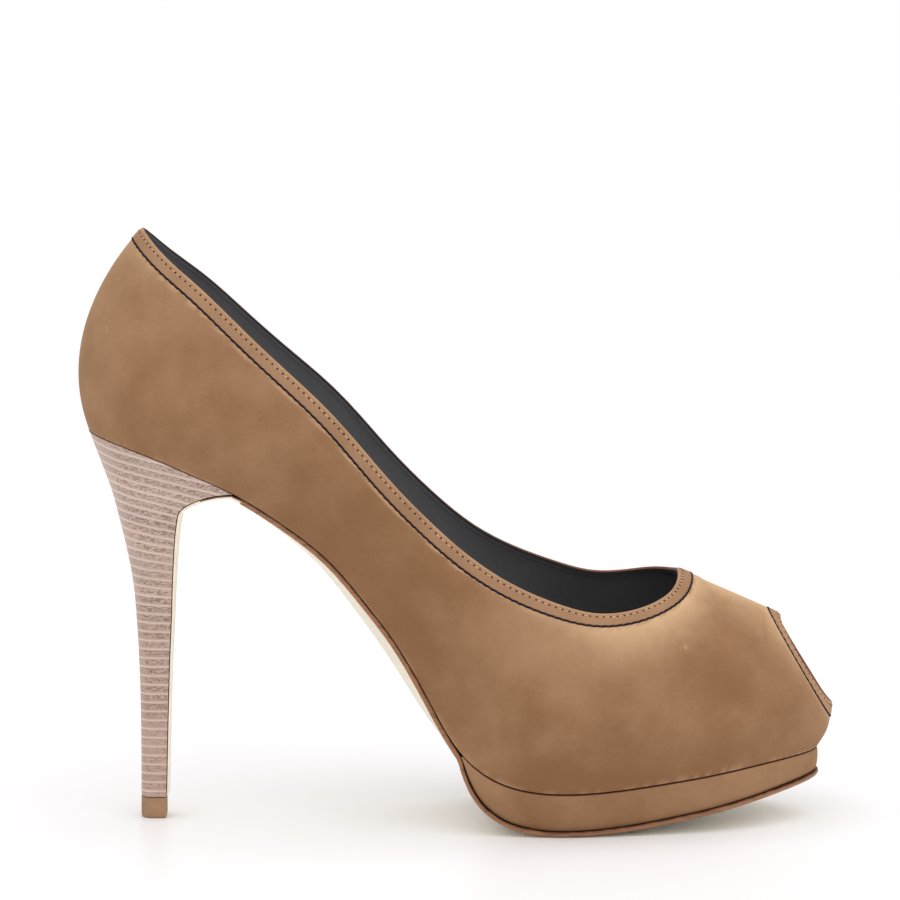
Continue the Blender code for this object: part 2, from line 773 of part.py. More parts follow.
def straight(left, right, steps):
    return [left + (right - left) * share for share in np.linspace(0, 1, steps + 1)]


def heel_section(level):
    """A closed section: outer side, front edge and inner side."""
    halves = heel_halves(level)
    front = straight(halves[-1][-1], halves[1][-1], FRONT_STEPS)[1:-1]
    return halves[-1] + front + halves[1][:0:-1]


def heel_lid(section):
    """The faces across a heel section, from its outer to its inner side."""
    outer = section[: SEAT_STEPS + 1]
    inner = [section[0]] + section[: SEAT_STEPS + FRONT_STEPS - 1 : -1]
    rows = [straight(left, right, FRONT_STEPS) for left, right in zip(outer, inner)]
    return skin(rows)


def build_heel(home):
    """The tall heel, with its tongue under the waist."""
    sections = [heel_section(level) for level in spread(0.0, 26, HEEL_TOP_LEVEL)]
    faces = tube_skin(sections) + heel_lid(sections[0]) + heel_lid(sections[-1])
    make_object("heel", mesh_of("heel", faces), "stacked_leather", home)


def build_top_lift(home):
    """The wear piece under the heel's tip."""
    tip = heel_section(0.0)
    top = [np.array([x, y, TOP_LIFT_HEIGHT]) for x, y, _ in tip]
    low = [np.array([x, y, 0.0]) for x, y, _ in tip]
    faces = tube_skin([low, top]) + heel_lid(low) + heel_lid(top)
    make_object("top_lift", mesh_of("top_lift", faces), "lift_rubber", home)


def outsole_ring(rib):
    """A section of the outsole under the foot, flat where it meets the floor."""
    along = along_of(rib)
    reach = min(PLATFORM_AT(along) / PLATFORM_AT(PLATFORM_START), 1.0)
    depth = platform_depth(along) + GAP * reach
    inset = max(platform_inset(along) - OUTSOLE_MARGIN, 0.0)
    top = slab_row(rib, inset, depth, 0.0, SOLE_STEPS)
    crown = CROWN_AT(along) * BOTTOM_CROWN * round_end(SOLE_LENGTH * (1 - along), TOE_ROUND)
    low = slab_row(rib, inset + EDGE_ROUNDING, depth + OUTSOLE_EDGE, crown, SOLE_STEPS)
    low = [np.array([x, y, max(z, 0.0)]) for x, y, z in low]
    return top + low[::-1]


def flap_ring(level):
    """A section of the sole leather where it runs down the heel's breast."""
    step = 0.02
    left, right = heel_front(level)
    above, below = heel_front(level + step)[0], heel_front(level - step)[0]
    rise = unit(np.array([above[0] - below[0], 0, above[2] - below[2]]))
    out = np.array([rise[2], 0, -rise[0]])
    share = level / HEEL_TOP_LEVEL
    thickness = FLAP_FOOT_THICKNESS + (FLAP_THICKNESS - FLAP_FOOT_THICKNESS) * share
    top = straight(left + out * GAP, right + out * GAP, SOLE_STEPS)
    low = [point + out * thickness for point in top]
    return top + low[::-1]


def build_outsole(home):
    """The leather sole from the toe through the waist and down the heel's breast."""
    flap_foot, flap_head = 0.02, HEEL_TOP_LEVEL - 0.6
    waist_start, ball = TONGUE_RIB + 0.01, 0.66
    rings = [flap_ring(level) for level in spread(flap_foot, 22, flap_head)]
    rings += [outsole_ring(rib) for rib in spread(waist_start, 30, ball, 18, 1.0)]
    build_slab("outsole", rings, "sole_leather", home)


def main():
    for made in list(bpy.data.objects):
        bpy.data.objects.remove(made, do_unlink=True)
    home = bpy.data.collections.new("peep_toe_pump")
    bpy.context.scene.collection.children.link(home)
    build_upper(home)
    build_binding("collar_binding", "topline", home)
    build_binding("toe_binding", "peep", home)
    build_piping("collar_piping", "topline", home)
    build_piping("toe_piping", "peep", home)
    build_insole(home)
    build_platform(home)
    build_heel(home)
    build_top_lift(home)
    build_outsole(home)


main()
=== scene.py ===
"""Peep toe pump, right shoe: the leather, piping, stitching and heel that dress the
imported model, laid out as a Blender add-on and run as a script.
"""

import math
from collections import namedtuple
from functools import lru_cache

import bmesh
import bpy
import numpy as np
from bpy.props import FloatProperty, FloatVectorProperty, PointerProperty
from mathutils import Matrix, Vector


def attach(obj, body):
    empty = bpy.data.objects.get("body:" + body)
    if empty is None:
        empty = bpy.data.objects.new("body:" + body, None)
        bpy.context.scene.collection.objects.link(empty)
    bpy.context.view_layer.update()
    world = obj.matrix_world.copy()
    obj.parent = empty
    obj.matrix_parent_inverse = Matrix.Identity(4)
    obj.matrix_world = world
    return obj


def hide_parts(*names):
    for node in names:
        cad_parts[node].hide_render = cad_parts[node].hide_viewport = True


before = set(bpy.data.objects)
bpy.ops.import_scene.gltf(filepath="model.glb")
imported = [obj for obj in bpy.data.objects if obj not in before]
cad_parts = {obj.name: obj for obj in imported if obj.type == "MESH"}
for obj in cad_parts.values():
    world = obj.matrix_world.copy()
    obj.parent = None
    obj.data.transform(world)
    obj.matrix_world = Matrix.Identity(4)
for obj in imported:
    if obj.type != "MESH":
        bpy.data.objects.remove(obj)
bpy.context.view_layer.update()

bl_info = {
    "name": "Peep toe pump",
    "version": (1, 0, 0),
    "blender": (4, 5, 0),
    "location": "3D View > Sidebar > Pump",
    "description": "Dresses the packed pump with nubuck, lining, piping and a stacked heel",
    "category": "Add Mesh",
}

# Sizes of the last and the sole, in metres
GAP = 0.0003
SOLE_REACH = 0.2183
SEAT_BACK = -0.0187
HEEL_RISE = 0.1043
TOE_SPRING = 0.0078
TOE_SWING = 0.0040
BALL_WIDTH = 0.0800
HEEL_ROUND = 0.022
TOE_ROUND = 0.039

# Sizes of the upper
UPPER_WALL = 0.0018
LINING_WALL = 0.0008
BACK_HEIGHT = 0.0563
MEDIAL_LIFT = 0.0052
PEEP_TOP = 0.2025
PEEP_TOP_HEIGHT = 0.0499
PEEP_WIDTH = 0.0320
NOSE_OVERHANG = 0.0037
LIP_HEIGHT = 0.0083

# Sizes of the trim
PIPING_DIAMETER = 0.0010
BINDING_WIDTH = 0.0034
BINDING_THICKNESS = 0.0009
BINDING_BEND = 0.024

# Sizes of the bottom
INSOLE_THICKNESS = 0.0026
PLATFORM_THICKNESS = 0.0107
PLATFORM_DRAFT = 0.0013
OUTSOLE_THICKNESS = 0.0018
OUTSOLE_MARGIN = 0.0006
OUTSOLE_EDGE = 0.0014
EDGE_ROUNDING = 0.0004
BOTTOM_CROWN = 0.0042
FLAP_THICKNESS = 0.0009
FLAP_FOOT_THICKNESS = 0.0005
TONGUE_LENGTH = 0.0470
HEEL_TIP_DEPTH = 0.0076
HEEL_TIP_WIDTH = 0.0086
TOP_LIFT_HEIGHT = 0.0060

# The outer and the inner side, and where each lies in a row that goes across the shoe
SIDES = (-1, 1)
ROW_END = {-1: 0, 1: -1}

# Worked out from the sizes
BALL_HEIGHT = OUTSOLE_THICKNESS + GAP + PLATFORM_THICKNESS + GAP / 2
SEAT_HEIGHT = BALL_HEIGHT + HEEL_RISE
SLOT_WIDTH = PIPING_DIAMETER + 2 * GAP
COLLAR_WIDTH = SLOT_WIDTH + BINDING_WIDTH
STEP_DEPTH = UPPER_WALL - LINING_WALL


def table(names, *rows):
    """Rows of numbers with named columns."""
    row_type = namedtuple("Row", names)
    return tuple(row_type(*row) for row in rows)


# The foot's bed in side view, in shares of the reach, the rise and the spring
BED = table(
    "forward rise spring",
    (0.000, 1.000, 0.00),
    (0.045, 0.976, 0.00),
    (0.092, 0.942, 0.00),
    (0.150, 0.889, 0.00),
    (0.200, 0.840, 0.00),
    (0.245, 0.783, 0.00),
    (0.290, 0.716, 0.00),
    (0.335, 0.634, 0.00),
    (0.380, 0.523, 0.00),
    (0.425, 0.396, 0.00),
    (0.465, 0.252, 0.00),
    (0.497, 0.138, 0.00),
    (0.530, 0.066, 0.00),
    (0.575, 0.019, 0.00),
    (0.630, 0.001, 0.00),
    (0.690, 0.000, 0.04),
    (0.780, 0.000, 0.30),
    (0.860, 0.000, 0.60),
    (0.930, 0.000, 0.85),
    (1.000, 0.000, 1.00),
)

# The sole's outline, in shares of its length along the bed and of half the ball width
OUTLINE = table(
    "along outer inner",
    (0.00, 0.62, 0.62),
    (0.08, 0.63, 0.63),
    (0.16, 0.62, 0.61),
    (0.30, 0.58, 0.51),
    (0.42, 0.62, 0.46),
    (0.52, 0.72, 0.55),
    (0.60, 0.85, 0.74),
    (0.67, 0.93, 0.92),
    (0.73, 0.94, 1.00),
    (0.80, 0.88, 0.98),
    (0.88, 0.78, 0.87),
    (0.94, 0.69, 0.75),
    (1.00, 0.60, 0.63),
)

# The panel's top edge from the back to the throat: shares of the reach, the rise, the
# back height, half the ball width on each side and the medial lift, then the way that
# the wall faces
TOPLINE = table(
    "forward rise wall outer inner lift ahead aside above",
    (0.059, 1.000, 1.000, 0.000, 0.000, 0.00, -0.77, 0.00, 0.63),
    (0.089, 0.970, 0.936, 0.345, 0.345, 0.00, -0.63, 0.55, 0.54),
    (0.141, 0.910, 0.879, 0.535, 0.530, 0.00, -0.39, 0.84, 0.37),
    (0.200, 0.830, 0.812, 0.625, 0.612, 0.05, -0.17, 0.95, 0.24),
    (0.258, 0.740, 0.769, 0.670, 0.650, 0.15, -0.05, 0.98, 0.17),
    (0.317, 0.650, 0.719, 0.705, 0.670, 0.30, 0.00, 0.99, 0.13),
    (0.397, 0.480, 0.677, 0.725, 0.670, 0.45, 0.03, 0.99, 0.12),
    (0.455, 0.360, 0.671, 0.745, 0.680, 0.50, 0.06, 0.98, 0.15),
    (0.514, 0.240, 0.700, 0.770, 0.705, 0.60, 0.09, 0.97, 0.21),
    (0.573, 0.140, 0.746, 0.790, 0.735, 0.80, 0.12, 0.94, 0.30),
    (0.632, 0.070, 0.782, 0.795, 0.745, 0.95, 0.15, 0.89, 0.41),
    (0.691, 0.020, 0.822, 0.775, 0.730, 1.00, 0.19, 0.82, 0.53),
    (0.751, 0.000, 0.877, 0.705, 0.670, 1.00, 0.24, 0.73, 0.63),
    (0.784, 0.000, 0.915, 0.605, 0.580, 0.90, 0.29, 0.63, 0.71),
    (0.816, 0.000, 0.982, 0.400, 0.385, 0.50, 0.35, 0.42, 0.83),
    (0.829, 0.000, 1.055, 0.000, 0.000, 0.00, 0.40, 0.00, 0.92),
)

# The way that the wall faces round the peep toe, from its top down to the lip
PEEP_FACING = table(
    "share ahead aside above",
    (0.00, 0.40, 0.00, 0.92),
    (0.25, 0.66, 0.30, 0.66),
    (0.50, 0.86, 0.38, 0.34),
    (0.75, 0.94, 0.28, 0.10),
    (1.00, 0.98, 0.00, -0.20),
)

# The ribs of the upper, from the sole's edge to the panel's edge. They end on the topline
# for a reach of 0 to 1, on the ridge to 2 and on the peep toe to 3. The flare is in
# degrees, the handles are shares of a rib's straight length, and sweep is how far a rib
# turns forward over the instep where it ends.
THROAT_RIB = 0.78
PEEP_RIB = 0.84
PEEP_SWEEP = 0.6
RIBS = table(
    "rib reach flare low high sweep",
    (0.00, 0.000, 34, 0.37, 0.36, 0.0),
    (0.09, 0.062, 31, 0.37, 0.36, 0.0),
    (0.18, 0.140, 27, 0.36, 0.35, 0.0),
    (0.28, 0.285, 26, 0.36, 0.34, 0.0),
    (0.38, 0.505, 27, 0.36, 0.34, 0.0),
    (0.46, 0.645, 27, 0.38, 0.34, 0.0),
    (0.54, 0.745, 22, 0.42, 0.33, 0.0),
    (0.60, 0.805, 17, 0.44, 0.32, 0.0),
    (0.66, 0.860, 14, 0.46, 0.31, 0.0),
    (0.72, 0.925, 14, 0.46, 0.31, 0.0),
    (THROAT_RIB, 1.000, 15, 0.46, 0.31, 0.0),
    (0.81, 1.500, 16, 0.46, 0.31, 0.3),
    (PEEP_RIB, 2.000, 17, 0.45, 0.32, 0.6),
    (0.88, 2.200, 21, 0.42, 0.34, 0.4),
    (0.93, 2.500, 29, 0.40, 0.36, 0.1),
    (1.00, 3.000, 40, 0.36, 0.36, 0.0),
)

# The bottom under the bed, in shares of the platform's thickness and of the crown
BOTTOM = table(
    "along platform crown",
    (0.000, 0.00, 0.00),
    (0.170, 0.00, 0.30),
    (0.250, 0.00, 0.60),
    (0.340, 0.00, 0.85),
    (0.430, 0.00, 1.00),
    (0.500, 0.00, 0.85),
    (0.545, 0.00, 0.55),
    (0.575, 0.02, 0.35),
    (0.595, 0.28, 0.24),
    (0.612, 0.56, 0.17),
    (0.630, 0.80, 0.14),
    (0.655, 0.97, 0.12),
    (0.690, 1.03, 0.12),
    (0.760, 1.01, 0.12),
    (0.850, 0.93, 0.12),
    (0.920, 0.82, 0.12),
    (1.000, 0.61, 0.10),
)
PLATFORM_START = 0.578

# The heel from its tip to its seat: heights as shares of the way up to the seat's back,
# then how far each level has grown from the tip towards the seat, and how closely it
# follows the seat's own edge
HEEL = table(
    "front_height front back_height back width hug",
    (0.0000, 0.000, 0.000, 0.000, 0.00, 0.0),
    (0.2135, 0.028, 0.214, 0.000, 0.00, 0.0),
    (0.3940, 0.061, 0.394, 0.034, 0.02, 0.0),
    (0.4840, 0.085, 0.490, 0.075, 0.05, 0.0),
    (0.5740, 0.103, 0.587, 0.140, 0.10, 0.0),
    (0.6640, 0.131, 0.700, 0.300, 0.19, 0.0),
    (0.7270, 0.160, 0.780, 0.443, 0.32, 0.0),
    (0.7630, 0.190, 0.835, 0.550, 0.45, 0.0),
    (0.7930, 0.240, 0.885, 0.680, 0.60, 0.0),
    (0.8135, 0.320, 0.925, 0.785, 0.73, 0.1),
    (0.8280, 0.437, 0.955, 0.870, 0.84, 0.2),
    (0.8405, 0.600, 0.975, 0.920, 0.92, 0.4),
    (0.8480, 0.790, 0.990, 0.965, 0.97, 0.7),
    (0.8540, 1.000, 1.000, 1.000, 1.00, 1.0),
)


def unit(vector):
    return vector / np.linalg.norm(vector)


def clamp(value, low, high):
    return min(max(value, low), high)


def ramp(values, start, end):
    """Zero up to start and one from end, straight between them."""
    return np.clip((values - start) / (end - start), 0, 1)


def column(rows, name):
    return [getattr(row, name) for row in rows]


def columns(rows, *names):
    return [[getattr(row, name) for name in names] for row in rows]


def spline(knots, values):
    """A smooth function through rows of values at rising knots."""
    knots = np.asarray(knots, float)
    values = np.asarray(values, float).reshape(len(knots), -1)
    steps = np.diff(knots)
    slopes = np.diff(values, axis=0) / steps[:, None]
    system = np.eye(len(knots))
    pull = np.zeros_like(values)
    for row in range(1, len(knots) - 1):
        before, after = steps[row - 1], steps[row]
        system[row, row - 1 : row + 2] = before, 2 * (before + after), after
        pull[row] = 6 * (slopes[row] - slopes[row - 1])
    bends = np.linalg.solve(system, pull)

    def at(place):
        row = clamp(int(np.searchsorted(knots, place)) - 1, 0, len(knots) - 2)
        step = steps[row]
        right = (clamp(place, knots[0], knots[-1]) - knots[row]) / step
        left = 1 - right
        curve = (left**3 - left) * bends[row] + (right**3 - right) * bends[row + 1]
        return left * values[row] + right * values[row + 1] + curve * step**2 / 6

    return at


def steady(knots, values):
    """A smooth function through values at rising knots that never overshoots them."""
    knots = np.asarray(knots, float)
    values = np.asarray(values, float)
    slopes = np.diff(values) / np.diff(knots)
    tangents = np.concatenate([slopes[:1], np.zeros(len(knots) - 2), slopes[-1:]])
    for row in range(1, len(knots) - 1):
        before, after = slopes[row - 1], slopes[row]
        if before * after > 0:
            tangents[row] = 2 * before * after / (before + after)

    def at(place):
        row = clamp(int(np.searchsorted(knots, place)) - 1, 0, len(knots) - 2)
        step = knots[row + 1] - knots[row]
        t = (clamp(place, knots[0], knots[-1]) - knots[row]) / step
        rise = values[row + 1] - values[row]
        start, end = tangents[row] * step, tangents[row + 1] * step
        bend = (t**3 - 2 * t**2 + t) * start + (t**3 - t**2) * end
        return values[row] + (3 * t**2 - 2 * t**3) * rise + bend

    return at


# The bed and the sole's outline
def bed_curve():
    """The bed as a function of its own length, and that length."""
    at = spline(column(BED, "forward"), columns(BED, "rise", "spring"))
    points = []
    for forward in np.linspace(0, 1, 101):
        rise, spring = at(forward)
        height = BALL_HEIGHT + rise * HEEL_RISE + spring * TOE_SPRING
        points.append((SEAT_BACK + forward * SOLE_REACH, height))
    lengths = np.linalg.norm(np.diff(points, axis=0), axis=1)
    places = np.concatenate([[0], np.cumsum(lengths)])
    return spline(places, points), places[-1]


BED_AT, SOLE_LENGTH = bed_curve()


def bed_frame(length):
    """The bed's point, its way to the toe and its upward normal, in the X Z plane."""
    inside = clamp(length, 0.0, SOLE_LENGTH)
    step = 0.0005
    along = unit(BED_AT(inside + step) - BED_AT(inside - step))
    here = BED_AT(inside) + along * (length - inside)
    return here, along, np.array([-along[1], along[0]])


def swung(points):
    """Points after the whole shoe is bent towards the inner side at its toe."""
    moved = points.copy()
    moved[..., 1] += TOE_SWING * np.maximum((points[..., 0] - SEAT_BACK) / SOLE_REACH, 0) ** 2
    return moved


def on_bed(length, across, depth):
    """The point at a length along the bed, a place across it and a depth below it."""
    here, _, up = bed_frame(length)
    x, z = here - up * depth
    return swung(np.array([x, across, z]))


HALF_WIDTH = {
    -1: spline(column(OUTLINE, "along"), column(OUTLINE, "outer")),
    1: spline(column(OUTLINE, "along"), column(OUTLINE, "inner")),
}


def along_of(rib):
    """The share of the sole's length at a rib: the ribs are dense at both ends."""
    return (1 - math.cos(math.pi * rib)) / 2


def rib_at(along):
    return math.acos(1 - 2 * along) / math.pi


def round_end(distance, radius):
    share = clamp(distance / radius, 0.0, 1.0)
    return math.sqrt(1 - (1 - share) ** 2)


def outline(rib, side):
    """The sole's edge at a rib, as a length along the bed and a place across it."""
    along = along_of(rib)
    length = along * SOLE_LENGTH
    width = HALF_WIDTH[side](along)[0] * BALL_WIDTH / 2
    width *= round_end(length, HEEL_ROUND) * round_end(SOLE_LENGTH - length, TOE_ROUND)
    return np.array([length, side * width])


def outline_normal(rib, side):
    """The way out from the sole's edge, in the bed's own plane."""
    step = 0.004
    if rib < step or rib > 1 - step:
        return np.array([-1.0 if rib < step else 1.0, 0.0])
    along, across = outline(rib + step, side) - outline(rib - step, side)
    return unit(np.array([-side * across, side * along]))


def outline_inside(rib, side, inset):
    return outline(rib, side) - outline_normal(rib, side) * inset


# The upper's edge: topline, ridge and peep toe
def topline_curve(side):
    """Points and facing of the panel's edge by its share from the back to the throat."""
    loops = {}
    for hand, name in ((-1, "outer"), (1, "inner")):
        rows = []
        for row in TOPLINE:
            height = BALL_HEIGHT + row.rise * HEEL_RISE + row.wall * BACK_HEIGHT
            height += row.lift * MEDIAL_LIFT * (hand == 1)
            across = hand * getattr(row, name) * BALL_WIDTH / 2
            x = SEAT_BACK + row.forward * SOLE_REACH
            rows.append([x, across, height, row.ahead, hand * row.aside, row.above])
        loops[hand] = rows
    near, far = loops[side], loops[-side]
    beyond = 4
    loop = np.array(far[beyond:0:-1] + near + far[-2 : -2 - beyond : -1])
    lengths = np.linalg.norm(np.diff(loop[:, :3], axis=0), axis=1)
    places = np.concatenate([[0], np.cumsum(lengths)])
    start, end = places[beyond], places[beyond + len(near) - 1]
    return spline((places - start) / (end - start), loop)


TOPLINE_AT = {side: topline_curve(side) for side in SIDES}
FACING_AT = spline(
    column(PEEP_FACING, "share"), columns(PEEP_FACING, "ahead", "aside", "above")
)


def peep_curve(side):
    """Points and facing of the panel's edge round the peep toe, from its top down."""
    top = np.array([SEAT_BACK + PEEP_TOP, 0, BALL_HEIGHT + PEEP_TOP_HEIGHT])
    tip, _, _ = bed_frame(SOLE_LENGTH)
    low = np.array([tip[0] + NOSE_OVERHANG, 0, tip[1] + LIP_HEIGHT])

    def at(share):
        turn = math.pi * share
        across = np.array([0, side * PEEP_WIDTH / 2 * math.sin(turn), 0])
        point = (top + low) / 2 + (top - low) / 2 * math.cos(turn) + across
        facing = FACING_AT(share) * np.array([1, side, 1])
        return np.concatenate([point, facing])

    return at


def ridge_curve(side):
    """Points and facing along the instep, from the throat to the peep toe."""
    throat, peep = TOPLINE_AT[side](1.0), peep_curve(side)(0.0)
    return lambda share: throat + (peep - throat) * share


RIDGE_AT = {side: ridge_curve(side) for side in SIDES}
PEEP_AT = {side: peep_curve(side) for side in SIDES}
EDGES = {"topline": TOPLINE_AT, "ridge": RIDGE_AT, "peep": PEEP_AT}

TOPLINE_RIBS = [row for row in RIBS if row.rib <= THROAT_RIB]
PEEP_RIBS = [row for row in RIBS if row.rib >= PEEP_RIB][::-1]
TOPLINE_SHARE = steady(column(TOPLINE_RIBS, "rib"), column(TOPLINE_RIBS, "reach"))
PEEP_SHARE = steady([1 - row.rib for row in PEEP_RIBS], [3 - row.reach for row in PEEP_RIBS])


def edge_of(rib):
    """Which edge a rib ends on."""
    if rib < THROAT_RIB:
        return "topline"
    return "ridge" if rib < PEEP_RIB else "peep"


def share_on(edge, rib):
    """How far along an edge a rib ends."""
    if edge == "topline":
        return TOPLINE_SHARE(rib)
    if edge == "peep":
        return 1 - PEEP_SHARE(1 - rib)
    return (rib - THROAT_RIB) / (PEEP_RIB - THROAT_RIB)


@lru_cache(maxsize=None)
def edge_frame(edge, rib, side):
    """The edge's point at a rib, its direction and the way that the wall faces."""
    curve, share = EDGES[edge][side], share_on(edge, rib)
    step = 1e-3
    place = curve(share)
    along = unit((curve(share + step) - curve(share - step))[:3])
    if edge != "ridge" and rib in (0.0, THROAT_RIB, PEEP_RIB, 1.0):
        along = np.array([0.0, math.copysign(1.0, along[1]), 0.0])
    facing = place[3:]
    return place[:3], along, unit(facing - along * (facing @ along))


FLARE = spline(column(RIBS, "rib"), column(RIBS, "flare"))
HANDLES = spline(column(RIBS, "rib"), columns(RIBS, "low", "high"))
SWEEP = steady(column(RIBS, "rib"), column(RIBS, "sweep"))
RIDGE_WAY = unit(PEEP_AT[1](0.0)[:3] - TOPLINE_AT[1](1.0)[:3])


@lru_cache(maxsize=None)
def rib_guide(rib, side):
    """A rib's four guide points from the sole's edge up, and the bed's own way up."""
    length, across = outline(rib, side)
    here, along, up = bed_frame(length)
    rise = np.array([up[0], 0, up[1]])
    start = np.array([here[0], across, here[1]]) + rise * GAP / 2
    away = outline_normal(rib, side)
    out = np.array([along[0] * away[0], away[1], along[1] * away[0]])
    flare = math.radians(FLARE(rib)[0])
    leaving = rise * math.cos(flare) + out * math.sin(flare)
    end, _, facing = edge_frame(edge_of(rib), rib, side)
    chord = np.linalg.norm(end - start)
    over = unit(RIDGE_WAY * PEEP_SWEEP - np.array([0, side, 0]))
    wish = (end - start) / chord * (1 - SWEEP(rib)) + over * SWEEP(rib)
    arriving = unit(wish - facing * (wish @ facing))
    low, high = HANDLES(rib) * chord
    return start, start + leaving * low, end - arriving * high, end, rise


def on_rib(guide, t):
    start, low, high, end, _ = guide
    u = 1 - t
    return u**3 * start + 3 * u * u * t * low + 3 * u * t * t * high + t**3 * end


def rib_slope(guide, t):
    start, low, high, end, _ = guide
    u = 1 - t
    return u * u * (low - start) + 2 * u * t * (high - low) + t * t * (end - high)


def collar_point(edge, rib, side, reach, depth):
    """A point of the band beyond the panel's edge, bent inward as it goes."""
    here, along, facing = edge_frame(edge, rib, side)
    away = unit(np.cross(along, facing)) * side
    turn = reach / BINDING_BEND
    flat, drop = BINDING_BEND * math.sin(turn), BINDING_BEND * (1 - math.cos(turn))
    outward = facing * math.cos(turn) + away * math.sin(turn)
    return swung(here + away * flat - facing * drop - outward * depth)


# The two openings: each piece's name and the upper's edge that it follows
OPENINGS = (("collar", "topline"), ("toe", "peep"))


# Fine rows for the visible surfaces
def spread(*stops):
    """Places from stop to stop, each stretch in its own number of even steps."""
    places = [stops[0]]
    for count, stop in zip(stops[1::2], stops[2::2]):
        places += [float(place) for place in np.linspace(places[-1], stop, count + 1)[1:]]
    return places


UPPER_RIBS = spread(0.0, 14, 0.05, 24, 0.20, 32, 0.54, 40, THROAT_RIB, 12, PEEP_RIB, 40, 1.0)
PANEL_SHARES = np.linspace(0, 1, 37)


def stretch(edge):
    """The upper's ribs along one of its open edges."""
    ends = (0.0, THROAT_RIB) if edge == "topline" else (PEEP_RIB, 1.0)
    return [rib for rib in UPPER_RIBS if ends[0] <= rib <= ends[1]]


def round_trip(edge):
    """Ribs and sides once round an opening."""
    ribs = stretch(edge)
    return [(rib, -1) for rib in ribs] + [(rib, 1) for rib in ribs[-2:0:-1]]


# Soft troughs and ridges of the worn leather: where along the ribs and up them, how wide
# each way, how deep as a share of the crease depth, and how far it leans over its height
CREASES = table(
    "side rib up along height depth lean",
    (-1, 0.575, 0.45, 0.030, 0.30, 0.7, 0.06),
    (-1, 0.660, 0.40, 0.034, 0.28, -0.5, 0.08),
    (-1, 0.110, 0.55, 0.024, 0.22, 0.6, -0.05),
    (-1, 0.180, 0.40, 0.030, 0.25, 0.7, -0.03),
    (-1, 0.250, 0.60, 0.022, 0.26, -0.5, 0.04),
    (-1, 0.330, 0.55, 0.030, 0.30, -0.6, 0.02),
    (-1, 0.450, 0.35, 0.026, 0.30, 0.8, 0.02),
    (1, 0.600, 0.45, 0.030, 0.30, 0.8, 0.05),
    (1, 0.120, 0.50, 0.026, 0.26, 0.6, -0.04),
    (1, 0.200, 0.45, 0.030, 0.30, 0.6, 0.02),
    (1, 0.420, 0.45, 0.030, 0.30, 0.7, -0.02),
)


def dent(rib, side, shares, depth):
    """How deep the leather sinks at places up a rib."""
    total = np.zeros_like(shares)
    for crease in CREASES:
        if crease.side == side:
            offset = (rib - crease.rib - crease.lean * (shares - crease.up)) / crease.along
            rise = (shares - crease.up) / crease.height
            total += crease.depth * np.exp(-(offset**2) - rise**2)
    return total * depth * ramp(shares, 0, 1 / 6) * (1 - ramp(shares, 7 / 8, 1))


def panel_row(rib, side, shares, depth, crease_depth):
    """The panel's points at a rib, this deep below its creased outer face."""
    step = 0.002
    t = np.asarray(shares, float)[:, None]
    guide = rib_guide(rib, side)
    before, after = rib_guide(max(rib - step, 0.0), side), rib_guide(min(rib + step, 1.0), side)
    here = on_rib(guide, t)
    along = on_rib(after, t) - on_rib(before, t)
    if rib in (0.0, 1.0):
        along = np.zeros_like(here) + np.array([0, side if rib == 0 else -side, 0])
    facing = -side * np.cross(along, rib_slope(guide, t))
    facing[-1] = edge_frame(edge_of(rib), rib, side)[2]
    facing /= np.linalg.norm(facing, axis=1, keepdims=True)
    rise = guide[4]
    held = 1 - ramp(t, 0, 0.15)
    facing = facing - rise * (facing @ rise)[:, None] * held
    facing /= np.linalg.norm(facing, axis=1, keepdims=True)
    sunk = dent(rib, side, t[:, 0], crease_depth)[:, None] + depth
    return swung(here - facing * sunk)


def band_row(edge, rib, side, profile):
    """Points of the band beyond the panel's edge, from reaches and depths."""
    return np.array([collar_point(edge, rib, side, reach, depth) for reach, depth in profile])


# Meshes: points this close are one point, and an edge this short is none
SAME_POINT = 3e-6
NO_LENGTH = 1e-7


def grid_faces(tall, wide, start):
    """The quads between rows of points, counted on from start."""
    index = start + np.arange(tall * wide).reshape(tall, wide)
    quads = [index[:-1, :-1], index[:-1, 1:], index[1:, 1:], index[1:, :-1]]
    return np.stack([corner.ravel() for corner in quads], axis=1)


def sew(name, patches, finishes, sharp):
    """One smooth mesh from patches: rows of points, the finish's place in the list and how
    worn each point is, with the painted light and shade that the upper carries in the same value."""
    points, faces, finish_of, worn = [], [], [], []
    start = 0
    for rows, finish, wear in patches:
        rows = np.asarray(rows, float)
        quads = grid_faces(*rows.shape[:2], start)
        points.append(rows.reshape(-1, 3))
        faces.append(quads)
        finish_of += [finish] * len(quads)
        worn.append(np.broadcast_to(np.asarray(wear, float), rows.shape[:2]).ravel())
        start += rows.shape[0] * rows.shape[1]
    mesh = bpy.data.meshes.new(name)
    mesh.from_pydata(np.concatenate(points).tolist(), [], np.concatenate(faces).tolist())
    mesh.polygons.foreach_set("material_index", np.array(finish_of, np.int32))
    layer = mesh.attributes.new("wear", "FLOAT", "POINT")
    layer.data.foreach_set("value", np.concatenate(worn).astype(np.float32))
    draft = bmesh.new()
    draft.from_mesh(mesh)
    bmesh.ops.remove_doubles(draft, verts=draft.verts[:], dist=SAME_POINT)
    bmesh.ops.dissolve_degenerate(draft, dist=NO_LENGTH, edges=draft.edges[:])
    bmesh.ops.recalc_face_normals(draft, faces=draft.faces[:])
    draft.to_mesh(mesh)
    draft.free()
    mesh.shade_smooth()
    mesh.set_sharp_from_angle(angle=math.radians(sharp))
    for finish in finishes:
        mesh.materials.append(finish)
    return mesh


def new_object(name, data):
    """An object in the scene, in place of an old one of the same name."""
    old = bpy.data.objects.get(name)
    if old:
        bpy.data.objects.remove(old, do_unlink=True)
    made = bpy.data.objects.new(name, data)
    bpy.context.scene.collection.objects.link(made)
    return made


